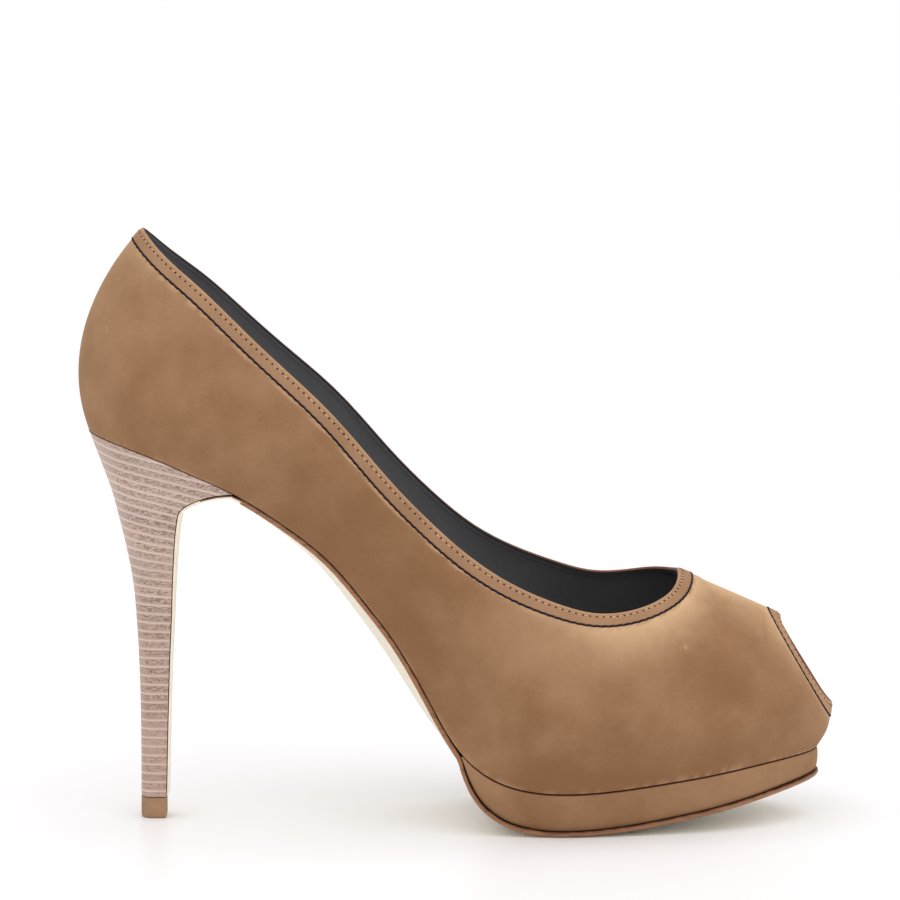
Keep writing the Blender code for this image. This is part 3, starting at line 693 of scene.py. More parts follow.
def put(name, patches, finishes, slot, *nodes, sharp=50):
    """A piece from its patches. It rides on the shoe's one body and stands for its nodes."""
    piece = new_object(name, sew(name, patches, finishes, sharp))
    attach(piece, "root")
    if nodes:
        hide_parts(*nodes)


# Shader sums
class Wire:
    """A shader socket that takes part in Python sums."""

    def __init__(self, finish, socket):
        self.finish = finish
        self.socket = socket

    def math(self, operation, *values):
        sockets = dict(enumerate(values))
        return self.finish.node("ShaderNodeMath", {"operation": operation}, sockets)

    def __add__(self, other):
        return self.math("ADD", self, other)

    def __radd__(self, other):
        return self.math("ADD", other, self)

    def __sub__(self, other):
        return self.math("SUBTRACT", self, other)

    def __rsub__(self, other):
        return self.math("SUBTRACT", other, self)

    def __mul__(self, other):
        return self.math("MULTIPLY", self, other)

    def __rmul__(self, other):
        return self.math("MULTIPLY", other, self)

    def __truediv__(self, other):
        return self.math("DIVIDE", self, other)

    def __rtruediv__(self, other):
        return self.math("DIVIDE", other, self)

    def floor(self):
        return self.math("FLOOR", self)

    def over(self, low, high):
        """Zero up to low and one from high, softly between them."""
        settings = {"interpolation_type": "SMOOTHSTEP"}
        return self.finish.node("ShaderNodeMapRange", settings, {0: self, 1: low, 2: high})


class Finish:
    """A material and the nodes that feed its shader."""

    def __init__(self, name, **constants):
        self.material = bpy.data.materials.get(name) or bpy.data.materials.new(name)
        self.material.use_nodes = True
        self.tree = self.material.node_tree
        self.tree.nodes.clear()
        output = self.tree.nodes.new("ShaderNodeOutputMaterial")
        self.shader = self.tree.nodes.new("ShaderNodeBsdfPrincipled")
        self.tree.links.new(self.shader.outputs[0], output.inputs[0])
        for socket, value in constants.items():
            self.shader.inputs[socket.replace("_", " ")].default_value = value

    def node(self, kind, settings=None, sockets=None, out=0):
        """One node: its settings, then its sockets' values or links."""
        made = self.tree.nodes.new(kind)
        for name, value in (settings or {}).items():
            setattr(made, name, value)
        for key, value in (sockets or {}).items():
            if isinstance(value, Wire):
                self.tree.links.new(value.socket, made.inputs[key])
            else:
                made.inputs[key].default_value = value
        return Wire(self, made.outputs[out])

    def feed(self, name, wire):
        self.tree.links.new(wire.socket, self.shader.inputs[name])

    def place(self):
        return self.node("ShaderNodeTexCoord", out="Object")

    def parts(self, vector):
        kind = "ShaderNodeSeparateXYZ"
        return [self.node(kind, {}, {0: vector}, out=axis) for axis in range(3)]

    def stretched(self, scale):
        sockets = {0: self.place(), 1: scale}
        return self.node("ShaderNodeVectorMath", {"operation": "MULTIPLY"}, sockets)

    def noise(self, scale, detail=2.0, vector=None, roughness=0.5):
        sockets = {
            "Vector": vector or self.place(),
            "Scale": scale,
            "Detail": detail,
            "Roughness": roughness,
        }
        return self.node("ShaderNodeTexNoise", {}, sockets)

    def blend(self, share, first, second):
        """A colour between two others."""
        sockets = {0: share, 6: first, 7: second}
        return self.node("ShaderNodeMix", {"data_type": "RGBA"}, sockets, out=2)

    def shade(self, share, colour, low, high):
        """The shader's colour, from a darker to a lighter tone of one colour."""
        dark, pale = opaque(tinted(colour, low)), opaque(tinted(colour, high))
        self.feed("Base Color", self.blend(share, dark, pale))

    def relief(self, height, depth, strength):
        """The height of the surface, as a bump this deep."""
        sockets = {"Height": height, "Distance": depth, "Strength": strength}
        self.feed("Normal", self.node("ShaderNodeBump", {}, sockets))

    # The wear attribute: real rubbing and, on the upper, painted light and shade.
    def wear(self):
        return self.node("ShaderNodeAttribute", {"attribute_name": "wear"}, out="Fac")


def opaque(colour):
    return (*colour, 1.0)


def tinted(colour, factor):
    """A colour made lighter or darker."""
    return tuple(min(part * factor, 1.0) for part in colour)


def nubuck(name, colour, worn, dark):
    """Brushed nubuck: soft blotches, a fine nap, light scuffs, paler edges and painted light and
    shade.
    """
    finish = Finish(
        name,
        Sheen_Weight=0.22,
        Sheen_Roughness=0.45,
        Sheen_Tint=opaque(worn),
        Specular_IOR_Level=0.22,
    )
    blotch = finish.noise(16.0, 3.0)
    mottle = finish.noise(75.0, 4.0, roughness=0.6)
    nap = finish.noise(2100.0, 2.0, roughness=0.7)
    brushed = finish.noise(1.0, 3.0, finish.stretched((420.0, 420.0, 60.0)))
    # The wear attribute pales the leather: real rubbing, and on the upper also painted light from
    # above and painted shade low down.
    tone = (blotch - 0.5) * 1.9 + (mottle - 0.5) * 1.1 + (nap - 0.5) * 0.5 + finish.wear() * 0.6
    tone = (tone + 0.5).over(0.0, 1.0)
    clean = finish.blend(tone, opaque(dark), opaque(colour))
    scuff_bed = finish.noise(1.0, 2.0, finish.stretched((240.0, 240.0, 26.0)))
    scuff = scuff_bed.over(0.70, 0.78) * finish.noise(30.0, 1.0).over(0.50, 0.66) * 0.35
    fleck = finish.noise(520.0, 1.0).over(0.70, 0.80) * finish.noise(45.0, 2.0).over(0.48, 0.64)
    pale = finish.wear() * (0.55 + mottle * 0.6) + scuff + fleck * 0.4 + (brushed - 0.5) * 0.14
    finish.feed("Base Color", finish.blend(pale.over(0.0, 1.0), clean, opaque(worn)))
    finish.feed("Roughness", 0.80 + mottle * 0.16)
    finish.relief(nap * 0.6 + brushed * 0.25 + mottle * 0.8, 0.00022, 0.55)
    return finish.material


def smooth_leather(name, colour, grain, roughness=0.45, gloss=0.4):
    """Coated leather: a fine pebbled grain and a faint change of tone."""
    finish = Finish(name, Specular_IOR_Level=gloss)
    cells = {"Vector": finish.place(), "Scale": grain}
    pebble = finish.node("ShaderNodeTexVoronoi", {"feature": "SMOOTH_F1"}, cells)
    tone = finish.noise(40.0, 3.0)
    share = (tone - 0.5) * 0.5 + 0.5 + (pebble - 0.4) * 0.12
    finish.shade(share.over(0.0, 1.0), colour, 0.75, 1.3)
    finish.feed("Roughness", roughness + (tone - 0.5) * 0.2)
    finish.relief(pebble + tone * 0.4, 0.00008, 0.6)
    return finish.material


def twisted_cord(name, colour):
    """Waxed thread: fine fibres along the twist."""
    finish = Finish(name, Specular_IOR_Level=0.22)
    fibre = finish.noise(1800.0, 2.0)
    tone = finish.noise(160.0, 2.0)
    share = (fibre * 0.7 + tone * 0.3).over(0.3, 0.7)
    finish.shade(share, colour, 0.55, 1.8)
    finish.feed("Roughness", 0.5 + fibre * 0.25)
    finish.relief(fibre, 0.00006, 0.7)
    return finish.material


def dyed_edge(name, colour, line):
    """The sole's cut edge: burnished brown with darker lines along it."""
    finish = Finish(name, Specular_IOR_Level=0.45)
    grain = finish.noise(1.0, 4.0, finish.stretched((120.0, 120.0, 1500.0)))
    tone = finish.noise(70.0, 3.0)
    share = ((grain - 0.5) * 1.4 + (tone - 0.5) * 0.8 + 0.75).over(0.0, 1.0)
    worn = finish.blend(share, opaque(line), opaque(colour))
    finish.feed("Base Color", finish.blend(finish.wear(), worn, opaque(line)))
    finish.feed("Roughness", 0.34 + tone * 0.25)
    finish.relief(grain, 0.00008, 0.5)
    return finish.material


def sole_bottom(name, colour):
    """Varnished sole leather: fine fibre, faint pores and a satin gloss."""
    finish = Finish(name, Specular_IOR_Level=0.5, Coat_Weight=0.12, Coat_Roughness=0.3)
    fibre = finish.noise(1.0, 4.0, finish.stretched((60.0, 420.0, 420.0)), 0.6)
    tone = finish.noise(22.0, 3.0)
    pore = finish.noise(900.0, 1.0)
    share = ((fibre - 0.5) * 0.9 + (tone - 0.5) * 0.9 + (pore - 0.5) * 0.35 + 0.5).over(0.0, 1.0)
    finish.shade(share, colour, 0.86, 1.1)
    finish.feed("Roughness", 0.36 + fibre * 0.2)
    finish.relief(fibre + pore * 0.4, 0.00005, 0.5)
    return finish.material


def stacked_leather(name, pale, grain_colour, line, pitch):
    """The heel's thin leather lifts, level at the tip and sloping under the seat."""
    finish = Finish(name, Specular_IOR_Level=0.4)
    x, y, z = finish.parts(finish.place())
    wobble = finish.noise(60.0, 2.0) * 0.0006
    slope = z.over(0.045, 0.098) * 0.24
    layer = (z + x * slope + wobble) / pitch
    index = layer.floor()
    share = layer - index
    tone = finish.node("ShaderNodeTexWhiteNoise", {"noise_dimensions": "1D"}, {"W": index})
    fibre = finish.noise(1.0, 4.0, finish.stretched((330.0, 330.0, 1300.0)), 0.7)
    speck = finish.noise(1.0, 2.0, finish.stretched((900.0, 900.0, 2600.0)), 0.6)
    cloud = finish.noise(55.0, 3.0)
    forward = finish.wear().over(0.18, 0.55) * 0.85 + 0.15
    inside = share.over(0.22, 0.42) * (1 - share.over(0.90, 1.0))
    dark = speck.over(0.44, 0.58) * inside * forward * (0.45 + cloud.over(0.34, 0.6) * 0.55)
    tone = (tone * 0.7 + fibre * 0.3).over(0.1, 0.9)
    body = finish.blend(tone, opaque(tinted(pale, 0.86)), opaque(pale))
    low = (1 - z.over(0.03, 0.09)) * 0.5
    body = finish.blend(low, body, opaque(tinted(grain_colour, 2.2)))
    body = finish.blend(dark * 0.8, body, opaque(grain_colour))
    seam = (1 - share.over(0.08, 0.24)) * (0.9 - forward * 0.4) * (0.5 + fibre * 0.6)
    finish.feed("Base Color", finish.blend(seam, body, opaque(line)))
    finish.feed("Roughness", 0.42 + fibre * 0.25)
    finish.relief(fibre * 0.5 + seam * 0.8 - dark * 0.6, 0.00012, 0.6)
    return finish.material


def lift_rubber(name, colour):
    """The wear piece: dense rubber with a fine speckle."""
    finish = Finish(name, Specular_IOR_Level=0.4)
    speck = finish.noise(1500.0, 2.0)
    tone = finish.noise(90.0, 3.0)
    share = ((speck - 0.5) * 0.9 + (tone - 0.5) * 0.9 + 0.5).over(0.0, 1.0)
    finish.shade(share, colour, 0.78, 1.2)
    finish.feed("Roughness", 0.55 + speck * 0.25)
    finish.relief(speck, 0.00008, 0.5)
    return finish.material


# The sizes and colours that a user would change
def colour_property(name, description, default):
    return FloatVectorProperty(
        name=name, description=description, default=default, subtype="COLOR", min=0.0, max=1.0
    )


def length_property(name, description, default):
    return FloatProperty(
        name=name, description=description, default=default, min=0.0, precision=5, unit="LENGTH"
    )


def light_property(name, description, default):
    return FloatProperty(name=name, description=description, default=default, min=0.0)


class PumpLeathers(bpy.types.PropertyGroup):
    """Colours of the shoe's leathers, threads and rubber."""

    nubuck: colour_property("Nubuck", "Main leather of the upper", (0.362, 0.203, 0.107))
    nubuck_dark: colour_property("Nubuck, dark", "Darker blotches", (0.250, 0.124, 0.055))
    # The worn tone is also the colour of the painted light on top of the upper.
    nubuck_worn_and_lit: colour_property("Nubuck, worn", "Rubbed edges and scuffs", (0.620, 0.400, 0.225))
    band: colour_property("Binding", "Strip round the openings", (0.400, 0.228, 0.128))
    band_dark: colour_property("Binding, dark", "Its darker blotches", (0.300, 0.160, 0.085))
    cut_edge: colour_property("Cut edge", "Dyed edge of the openings", (0.190, 0.052, 0.022))
    cord: colour_property("Piping", "Twisted cord", (0.010, 0.004, 0.012))
    # Painted shade of the needle holes.
    hole_shade: colour_property("Needle holes", "Dark pricks of the stitching", (0.045, 0.022, 0.015))
    thread: colour_property("Thread", "Sewing thread", (0.400, 0.236, 0.138))
    lining: colour_property("Lining", "Leather inside the upper", (0.125, 0.125, 0.130))
    sole: colour_property("Sole", "Underside of the outsole", (0.930, 0.830, 0.660))
    sole_edge: colour_property("Sole edge", "Burnished edge", (0.370, 0.165, 0.070))
    sole_line: colour_property("Sole line", "Darkest line of the edge", (0.070, 0.018, 0.007))
    stack: colour_property("Heel", "Pale lifts of the heel", (0.610, 0.448, 0.368))
    stack_grain: colour_property("Heel grain", "Dark flecks", (0.200, 0.126, 0.098))
    stack_line: colour_property("Heel lines", "Pale lines between lifts", (0.860, 0.740, 0.670))
    lift: colour_property("Top lift", "Rubber wear piece", (0.360, 0.205, 0.110))


class PumpDetails(bpy.types.PropertyGroup):
    """Sizes of the details that the CAD leaves out."""

    stitch: length_property("Stitch", "Length of one stitch", 0.0021)
    stitch_width: length_property("Thread width", "Width of the thread", 0.00054)
    cord: length_property("Piping width", "Width of the piping at its lumps", 0.00088)
    twist: length_property("Cord twist", "Length of one turn of the piping", 0.0046)
    crease: length_property("Crease depth", "Depth of the deepest crease", 0.00045)
    heel_lift: length_property("Heel lift", "Thickness of one leather lift", 0.0027)
    edge_roll: length_property("Edge roll", "Rounding of the cut edges", 0.00025)


class PumpStage(bpy.types.PropertyGroup):
    """The plain studio round the shoe."""

    floor: colour_property("Floor", "Pale studio floor", (0.955, 0.948, 0.962))
    sky: light_property("Sky", "Strength of the even light", 0.68)
    top: light_property("Top", "Strength of the soft light from above", 1.65)
    key: light_property("Key", "Power of the front light", 0.8)
    distance: length_property("Camera distance", "From the shoe's middle", 1.6)
    tilt: FloatProperty(
        name="Camera tilt",
        description="Height of the camera above the floor's plane",
        default=math.radians(7),
        subtype="ANGLE",
    )


def leathers():
    return bpy.context.scene.pump_leathers


def details():
    return bpy.context.scene.pump_details


# The upper, and where each of its finishes stands in its list
FACE, LINING, SEAM, SLOT = range(4)


def lip_reach():
    """How far the leather on each side of the piping reaches over its slot."""
    return (SLOT_WIDTH - details().cord * 0.5) / 2


def panel_wear_and_light(ribs, shares):
    """How rubbed the leather is, with painted light and shade: most over the toes (painted light
    from above) and at the back, least low down (painted shade).
    """
    seam = 1 - ramp(shares, 0, 0.06)
    brow = ramp(shares, 0.93, 1)
    # Painted light from above: the top of the upper over the instep and the vamp is made paler.
    crown = ramp(ribs, 0.45, 0.65) * (1 - ramp(ribs, 0.85, 1.05)) * ramp(shares, 0.45, 1) ** 1.5
    counter = (1 - ramp(ribs, 0, 0.2)) * ramp(shares, 0.3, 1)
    # Painted shade: the lower part of the upper is made darker, most from the waist forward.
    low = (1 - ramp(shares, 0, 0.65)) * (0.25 + ramp(ribs, 0.3, 0.6))
    return 0.06 * seam + 0.14 * brow + 0.90 * crown + 0.45 * counter - 0.60 * low


def upper_patches(crease_depth, roll):
    """The leather's outer face, its lining and the edges between them."""
    patches = []
    shares, step, reach = PANEL_SHARES, STEP_DEPTH, lip_reach()
    lip = [
        (0.0, 0.0),
        (reach - roll * 0.6, 0.0),
        (reach - roll * 0.15, roll * 0.4),
        (reach, roll),
        (reach, step),
    ]
    bed = [(reach + (COLLAR_WIDTH - reach) * share, step) for share in np.linspace(0, 1, 7)]
    rim = [
        (COLLAR_WIDTH, step),
        (COLLAR_WIDTH + roll * 0.6, (step + UPPER_WALL) / 2),
        (COLLAR_WIDTH, UPPER_WALL),
    ]
    back = [(COLLAR_WIDTH * share, UPPER_WALL) for share in np.linspace(1, 0, 7)]
    for side in SIDES:
        outer = np.array([panel_row(rib, side, shares, 0.0, crease_depth) for rib in UPPER_RIBS])
        inner = np.array([panel_row(rib, side, shares, UPPER_WALL, 0.0) for rib in UPPER_RIBS])
        patches.append((outer, FACE, panel_wear_and_light(np.array(UPPER_RIBS)[:, None], shares)))
        patches.append((inner, LINING, 0.0))
        patches.append((np.stack([outer[:, 0], inner[:, 0]], axis=1), SEAM, 0.3))
        for _, edge in OPENINGS:
            for profile, finish in ((lip, FACE), (bed, SLOT), (rim, SLOT), (back, LINING)):
                rows = [band_row(edge, rib, side, profile) for rib in stretch(edge)]
                patches.append((rows, finish, 0.6))
    return patches


class PUMP_OT_upper(bpy.types.Operator):
    """Build the creased nubuck upper with its lining"""

    bl_idname = "pump.upper"
    bl_label = "Upper"

    def execute(self, context):
        colours, sizes = leathers(), details()
        finishes = [
            nubuck("nubuck", colours.nubuck, colours.nubuck_worn_and_lit, colours.nubuck_dark),
            smooth_leather("lining_leather", colours.lining, 900.0),
            dyed_edge("cut_edge", colours.cut_edge, tinted(colours.cut_edge, 0.5)),
            smooth_leather("slot_shade", tinted(colours.cord, 0.8), 900.0, 0.8, gloss=0.1),
        ]
        patches = upper_patches(sizes.crease, sizes.edge_roll)
        put("upper_leather", patches, finishes, "nubuck", "upper")
        return {"FINISHED"}


# The bindings, and how far their faces swell
BAND_DOME = 0.00012


def band_profile(roll):
    """The binding's section: its domed face, its raw top edge and the lining behind it."""
    low, high = STEP_DEPTH - GAP, STEP_DEPTH - GAP - BINDING_THICKNESS
    start, end = SLOT_WIDTH - lip_reach(), COLLAR_WIDTH
    face = [(start, low), (start, high + roll), (start + roll * 0.35, high + roll * 0.3)]
    for share in np.linspace(0, 1, 9):
        dome = BAND_DOME * math.sin(math.pi * share)
        face.append((start + roll + (end - start - roll * 0.8) * share, high - dome))
    face.append((end + roll * 0.8, high + roll * 0.6))
    cut = [face[-1], (end + roll, high + roll * 1.6), (end + roll, high + roll * 3.2)]
    edge = [
        cut[-1],
        (end + roll * 0.9, UPPER_WALL - roll),
        (end + roll * 0.4, UPPER_WALL + roll * 0.3),
    ]
    lining = [
        edge[-1],
        (end - roll, UPPER_WALL + roll * 0.5),
        (end - roll * 4, UPPER_WALL + roll * 0.3),
        (end - roll * 6, UPPER_WALL - roll * 0.1),
    ]
    return face, cut, edge, lining


def binding_patches(edge, roll):
    """The binding's four faces all round an opening."""
    trip = round_trip(edge)
    wear = (np.array([[0.4, 0.3, 0.2] + [0.10] * 7 + [0.25, 0.5, 0.8]]), 0.0, 0.0, 0.0)
    patches = []
    for finish, section in enumerate(band_profile(roll)):
        rows = [band_row(edge, rib, side, section) for rib, side in trip + trip[:1]]
        patches.append((rows, finish, wear[finish]))
    return patches


class PUMP_OT_bindings(bpy.types.Operator):
    """Build the folded strips round the collar and the toe opening"""

    bl_idname = "pump.bindings"
    bl_label = "Bindings"

    def execute(self, context):
        colours, roll = leathers(), details().edge_roll
        finishes = [
            nubuck("nubuck_band", colours.band, colours.nubuck_worn_and_lit, colours.band_dark),
            dyed_edge("cut_edge_band", colours.cut_edge, tinted(colours.cut_edge, 0.5)),
            smooth_leather("lining_edge", tinted(colours.lining, 0.06), 900.0, 0.7, gloss=0.12),
            smooth_leather("lining_turned", colours.lining, 900.0),
        ]
        for name, edge in OPENINGS:
            patches = binding_patches(edge, roll)
            put(f"{name}_band", patches, finishes, "nubuck_edge", f"{name}_binding")
        return {"FINISHED"}


# Cords and stitches follow an even route round an opening
@lru_cache(maxsize=None)
def even_route(edge, reach, depth, step):
    """Points at even steps round an opening, with the ways out and across there."""
    rows = []
    trip = round_trip(edge)
    for rib, side in trip:
        point = collar_point(edge, rib, side, reach, depth)
        out = point - collar_point(edge, rib, side, reach, depth + 0.001)
        rows.append(np.concatenate([point, unit(out)]))
    margin = 6
    loop = np.array(rows[-margin:] + rows + rows[: margin + 1])
    lengths = np.linalg.norm(np.diff(loop[:, :3], axis=0), axis=1)
    apart = lengths > SAME_POINT / 3
    loop, lengths = loop[np.concatenate([[True], apart])], lengths[apart]
    places = np.concatenate([[0], np.cumsum(lengths)])
    start, end = places[margin], places[-margin - 1]
    count = max(round((end - start) / step), 8)
    at = spline(places, loop)
    found = np.array([at(place) for place in np.linspace(start, end, count, endpoint=False)])
    points, out = found[:, :3], found[:, 3:]
    along = np.roll(points, -1, axis=0) - np.roll(points, 1, axis=0)
    along /= np.linalg.norm(along, axis=1, keepdims=True)
    out = out - along * (out * along).sum(axis=1, keepdims=True)
    out /= np.linalg.norm(out, axis=1, keepdims=True)
    return points, along, out, np.cross(along, out)


# The piping's strands, and the length between the rings of points along them
STRANDS = 2
CORD_STEP = 0.00034


def cord_patches(edge, twist):
    """Strands laid round each other in the slot."""
    cord = details().cord
    depth = STEP_DEPTH - GAP - PIPING_DIAMETER + cord / 2
    points, _, out, across = even_route(edge, SLOT_WIDTH / 2, depth, CORD_STEP)
    count = len(points)
    turns = max(round(count * CORD_STEP / twist), 1)
    index = np.arange(count + 1) % count
    points, out, across = points[index], out[index], across[index]
    centre, radius = cord * 0.25, cord * 0.27
    patches = []
    for strand in range(STRANDS):
        phase = np.arange(count + 1) / count * turns * 2 * math.pi
        phase = (phase + strand * 2 * math.pi / STRANDS)[:, None]
        middle = points + (np.cos(phase) * out + np.sin(phase) * across) * centre
        rows = [
            middle + (math.cos(turn) * out + math.sin(turn) * across) * radius
            for turn in np.linspace(0, 2 * math.pi, 9)
        ]
        patches.append((np.stack(rows, axis=1), 0, 0.0))
    return patches


class PUMP_OT_cords(bpy.types.Operator):
    """Build the twisted piping between the panels and the bindings"""

    bl_idname = "pump.cords"
    bl_label = "Piping"

    def execute(self, context):
        finishes = [twisted_cord("piping_cord", leathers().cord)]
        for name, edge in OPENINGS:
            patches, node = cord_patches(edge, details().twist), f"{name}_piping"
            put(f"{name}_cord", patches, finishes, "piping_cord", node, sharp=80)
        return {"FINISHED"}


def beads(places, along, out, across, sizes, finish):
    """Small rounded lumps at places, as patches."""
    patches, sizes = [], np.array(sizes)[:, None]
    turn, tilt = np.meshgrid(np.linspace(0, 2 * math.pi, 9), np.linspace(0, math.pi, 6))
    ball = np.stack([np.cos(tilt), np.sin(tilt) * np.cos(turn), np.sin(tilt) * np.sin(turn)], -1)
    for point, *axes in zip(places, along, out, across):
        patches.append((point + ball @ (np.stack(axes) * sizes), finish, 0.0))
    return patches


# The seam's place across the binding, as a share, and its height over the leather. Then
# where its two finishes stand in their list.
STITCH_PLACE = 0.64
STITCH_RISE = 0.00011
THREAD, HOLE = range(2)


class PUMP_OT_stitches(bpy.types.Operator):
    """Sew the bindings: sunk thread between dark needle holes"""

    bl_idname = "pump.stitches"
    bl_label = "Stitches"

    def execute(self, context):
        colours, sizes = leathers(), details()
        finishes = [
            twisted_cord("sewing_thread", colours.thread),
            # Painted shade: the needle holes are dark flat lumps on the binding, not pits.
            smooth_leather("needle_holes", colours.hole_shade, 900.0, 0.9, gloss=0.05),
        ]
        reach = SLOT_WIDTH + BINDING_WIDTH * STITCH_PLACE
        depth = STEP_DEPTH - GAP - BINDING_THICKNESS - STITCH_RISE
        half = sizes.stitch_width / 2
        for name, edge in OPENINGS:
            route = even_route(edge, reach, depth, sizes.stitch / 2)
            threads, holes = [[part[first::2] for part in route] for first in (1, 0)]
            patches = beads(*threads, (sizes.stitch * 0.34, half * 0.2, half * 0.7), THREAD)
            patches += beads(*holes, (half * 1.2, half * 0.5, half * 1.1), HOLE)
            put(f"{name}_stitches", patches, finishes, "nubuck_edge", sharp=80)
        return {"FINISHED"}


# The bottom of the shoe: roundings and swellings that the CAD leaves out
SOCK_ROLL = 0.0006
SOCK_PADDING = 0.0005
COVER_ROLL = 0.0007
COVER_BULGE = 0.0005
LIFT_ROLL = 0.0004

PLATFORM_AT = steady(column(BOTTOM, "along"), column(BOTTOM, "platform"))
CROWN_AT = steady(column(BOTTOM, "along"), column(BOTTOM, "crown"))


def slab_row(rib, inset, depth, crown, steps):
    """Points from the outer to the inner edge of a plate, deepest in the middle."""
    left, right = (outline_inside(rib, side, inset) for side in SIDES)
    row = []
    for share in np.linspace(0, 1, steps + 1):
        length, across = left + (right - left) * share
        bulge = crown * (1 - (2 * share - 1) ** 2)
        row.append(on_bed(length, across, depth + bulge))
    return np.array(row)


def wall_rows(rib, side, stops):
    """Points down a plate's edge from insets and depths."""
    rows = []
    for inset, depth in stops:
        length, across = outline_inside(rib, side, inset)
        rows.append(on_bed(length, across, depth))
    return np.array(rows)


def plate_patches(ribs, top, stops, low, faces):
    """A plate's top, its edge all round and its underside."""
    top_rows = [top(rib) for rib in ribs]
    low_rows = [low(rib) for rib in ribs]
    patches = [(top_rows, faces[0], 0.0), (low_rows, faces[2], 0.0)]
    for side in SIDES:
        edge = np.array([wall_rows(rib, side, stops(rib)) for rib in ribs])
        patches.append((edge[:, :2], faces[0], 0.0))
        patches.append((edge[:, 1:], faces[1], 0.0))
    return patches


class PUMP_OT_sock(bpy.types.Operator):
    """Build the padded lining sock on the insole"""

    bl_idname = "pump.sock"
    bl_label = "Sock"

    def execute(self, context):
        inset, top, roll = UPPER_WALL + GAP, -GAP / 2 - INSOLE_THICKNESS, SOCK_ROLL
        stops = [
            (inset + roll * 1.2, top),
            (inset + roll * 0.4, top + roll * 0.35),
            (inset, top + roll),
            (inset, -GAP / 2),
        ]
        patches = plate_patches(
            spread(0.0, 90, 1.0),
            lambda rib: slab_row(rib, stops[0][0], top, -SOCK_PADDING, 16),
            lambda rib: stops,
            lambda rib: slab_row(rib, inset, -GAP / 2, 0.0, 2),
            (0, 0, 0),
        )
        finishes = [smooth_leather("sock_leather", leathers().lining, 800.0, 0.5)]
        put("sock", patches, finishes, "lining_leather", "insole")
        return {"FINISHED"}


def platform_depth(along):
    return GAP / 2 + PLATFORM_AT(along) * PLATFORM_THICKNESS


def platform_inset(along):
    return PLATFORM_DRAFT * min(PLATFORM_AT(along), 1.0)


def platform_stops(rib):
    """The covered edge of the platform, from its top seam down, a little rounded."""
    along = along_of(rib)
    deep, draft = platform_depth(along), platform_inset(along)
    tall = deep - GAP / 2
    roll = min(COVER_ROLL, tall / 4)
    stops = []
    for share in (0.0, 0.03, *np.linspace(0.1, 1, 10)):
        depth = GAP / 2 + tall * share
        bulge = COVER_BULGE * min(PLATFORM_AT(along), 1.0) * math.sin(math.pi * share)
        corner = max(roll - (depth - GAP / 2), roll - (deep - depth), 0.0) / max(roll, NO_LENGTH)
        stops.append((draft * share - bulge + roll * 0.6 * corner**2, depth))
    return stops


class PUMP_OT_platform(bpy.types.Operator):
    """Build the nubuck covered platform"""

    bl_idname = "pump.platform"
    bl_label = "Platform"

    def execute(self, context):
        colours = leathers()
        patches = plate_patches(
            spread(rib_at(PLATFORM_START), 30, 0.70, 60, 1.0),
            lambda rib: slab_row(rib, *platform_stops(rib)[0], 0.0, 6),
            platform_stops,
            lambda rib: slab_row(rib, *platform_stops(rib)[-1], 0.0, 6),
            (1, 0, 0),
        )
        finishes = [
            nubuck("nubuck_platform", colours.nubuck, colours.nubuck_worn_and_lit, colours.nubuck_dark),
            dyed_edge("platform_seam", tinted(colours.cut_edge, 0.5), colours.sole_line),
        ]
        put("platform_cover", patches, finishes, "nubuck", "platform")
        return {"FINISHED"}


# The heel
HEEL_AT = spline(
    range(len(HEEL)),
    columns(HEEL, "front_height", "front", "back_height", "back", "width", "hug"),
)
HEEL_TOP_LEVEL = len(HEEL) - 1
TONGUE_RIB = rib_at(TONGUE_LENGTH / SOLE_LENGTH)
SEAT_STEPS = 40


def seat_edge(side):
    """The seat's edge under the upper, from the back to the tongue's corner."""
    edge = []
    for rib in spread(0.0, SEAT_STEPS, TONGUE_RIB):
        length, across = outline(rib, side)
        edge.append(on_bed(length, across, GAP / 2))
    return np.array(edge)


SEAT = {side: seat_edge(side) for side in SIDES}


def heel_halves(level):
    """The two sides of a heel section: the seat's outline drawn in towards the tip."""
    front_height, front, back_height, back, width, hug = HEEL_AT(level)
    base = TOP_LIFT_HEIGHT + GAP
    rim_back, rim_front = SEAT[1][0], SEAT[1][-1]
    ends = []
    for height, share, sign, rim in (
        (back_height, back, -1, rim_back),
        (front_height, front, 1, rim_front),
    ):
        tip = sign * HEEL_TIP_DEPTH / 2
        x = tip + (rim[0] - tip) * share
        ends.append(np.array([x, base + (SEAT_HEIGHT - base) * height]))
    halves = {}
    for side in SIDES:
        widest = np.abs(SEAT[side][:, 1]).max()
        half = HEEL_TIP_WIDTH / 2 + (widest - HEEL_TIP_WIDTH / 2) * width
        share = (SEAT[side][:, 0] - rim_back[0]) / (rim_front[0] - rim_back[0])
        place = ends[0] + (ends[1] - ends[0]) * share[:, None]
        plain = np.stack([place[:, 0], half * SEAT[side][:, 1] / widest, place[:, 1]], axis=1)
        halves[side] = plain * (1 - hug) + SEAT[side] * hug
    return halves


def straight(left, right, steps):
    return np.array([left + (right - left) * share for share in np.linspace(0, 1, steps + 1)])


def block_patches(sections, steps, side_wear, front_wear):
    """A block's rounded back and sides, its flat front and its two ends."""
    outer, inner = [[section[side] for section in sections] for side in SIDES]
    front = [straight(o[-1], i[-1], steps) for o, i in zip(outer, inner)]
    patches = [(outer, 0, side_wear), (inner, 0, side_wear), (front, 0, front_wear)]
    for place in (0, -1):
        lid = [straight(o, i, steps) for o, i in zip(outer[place], inner[place])]
        patches.append((lid, 0, 0.0))
    return patches


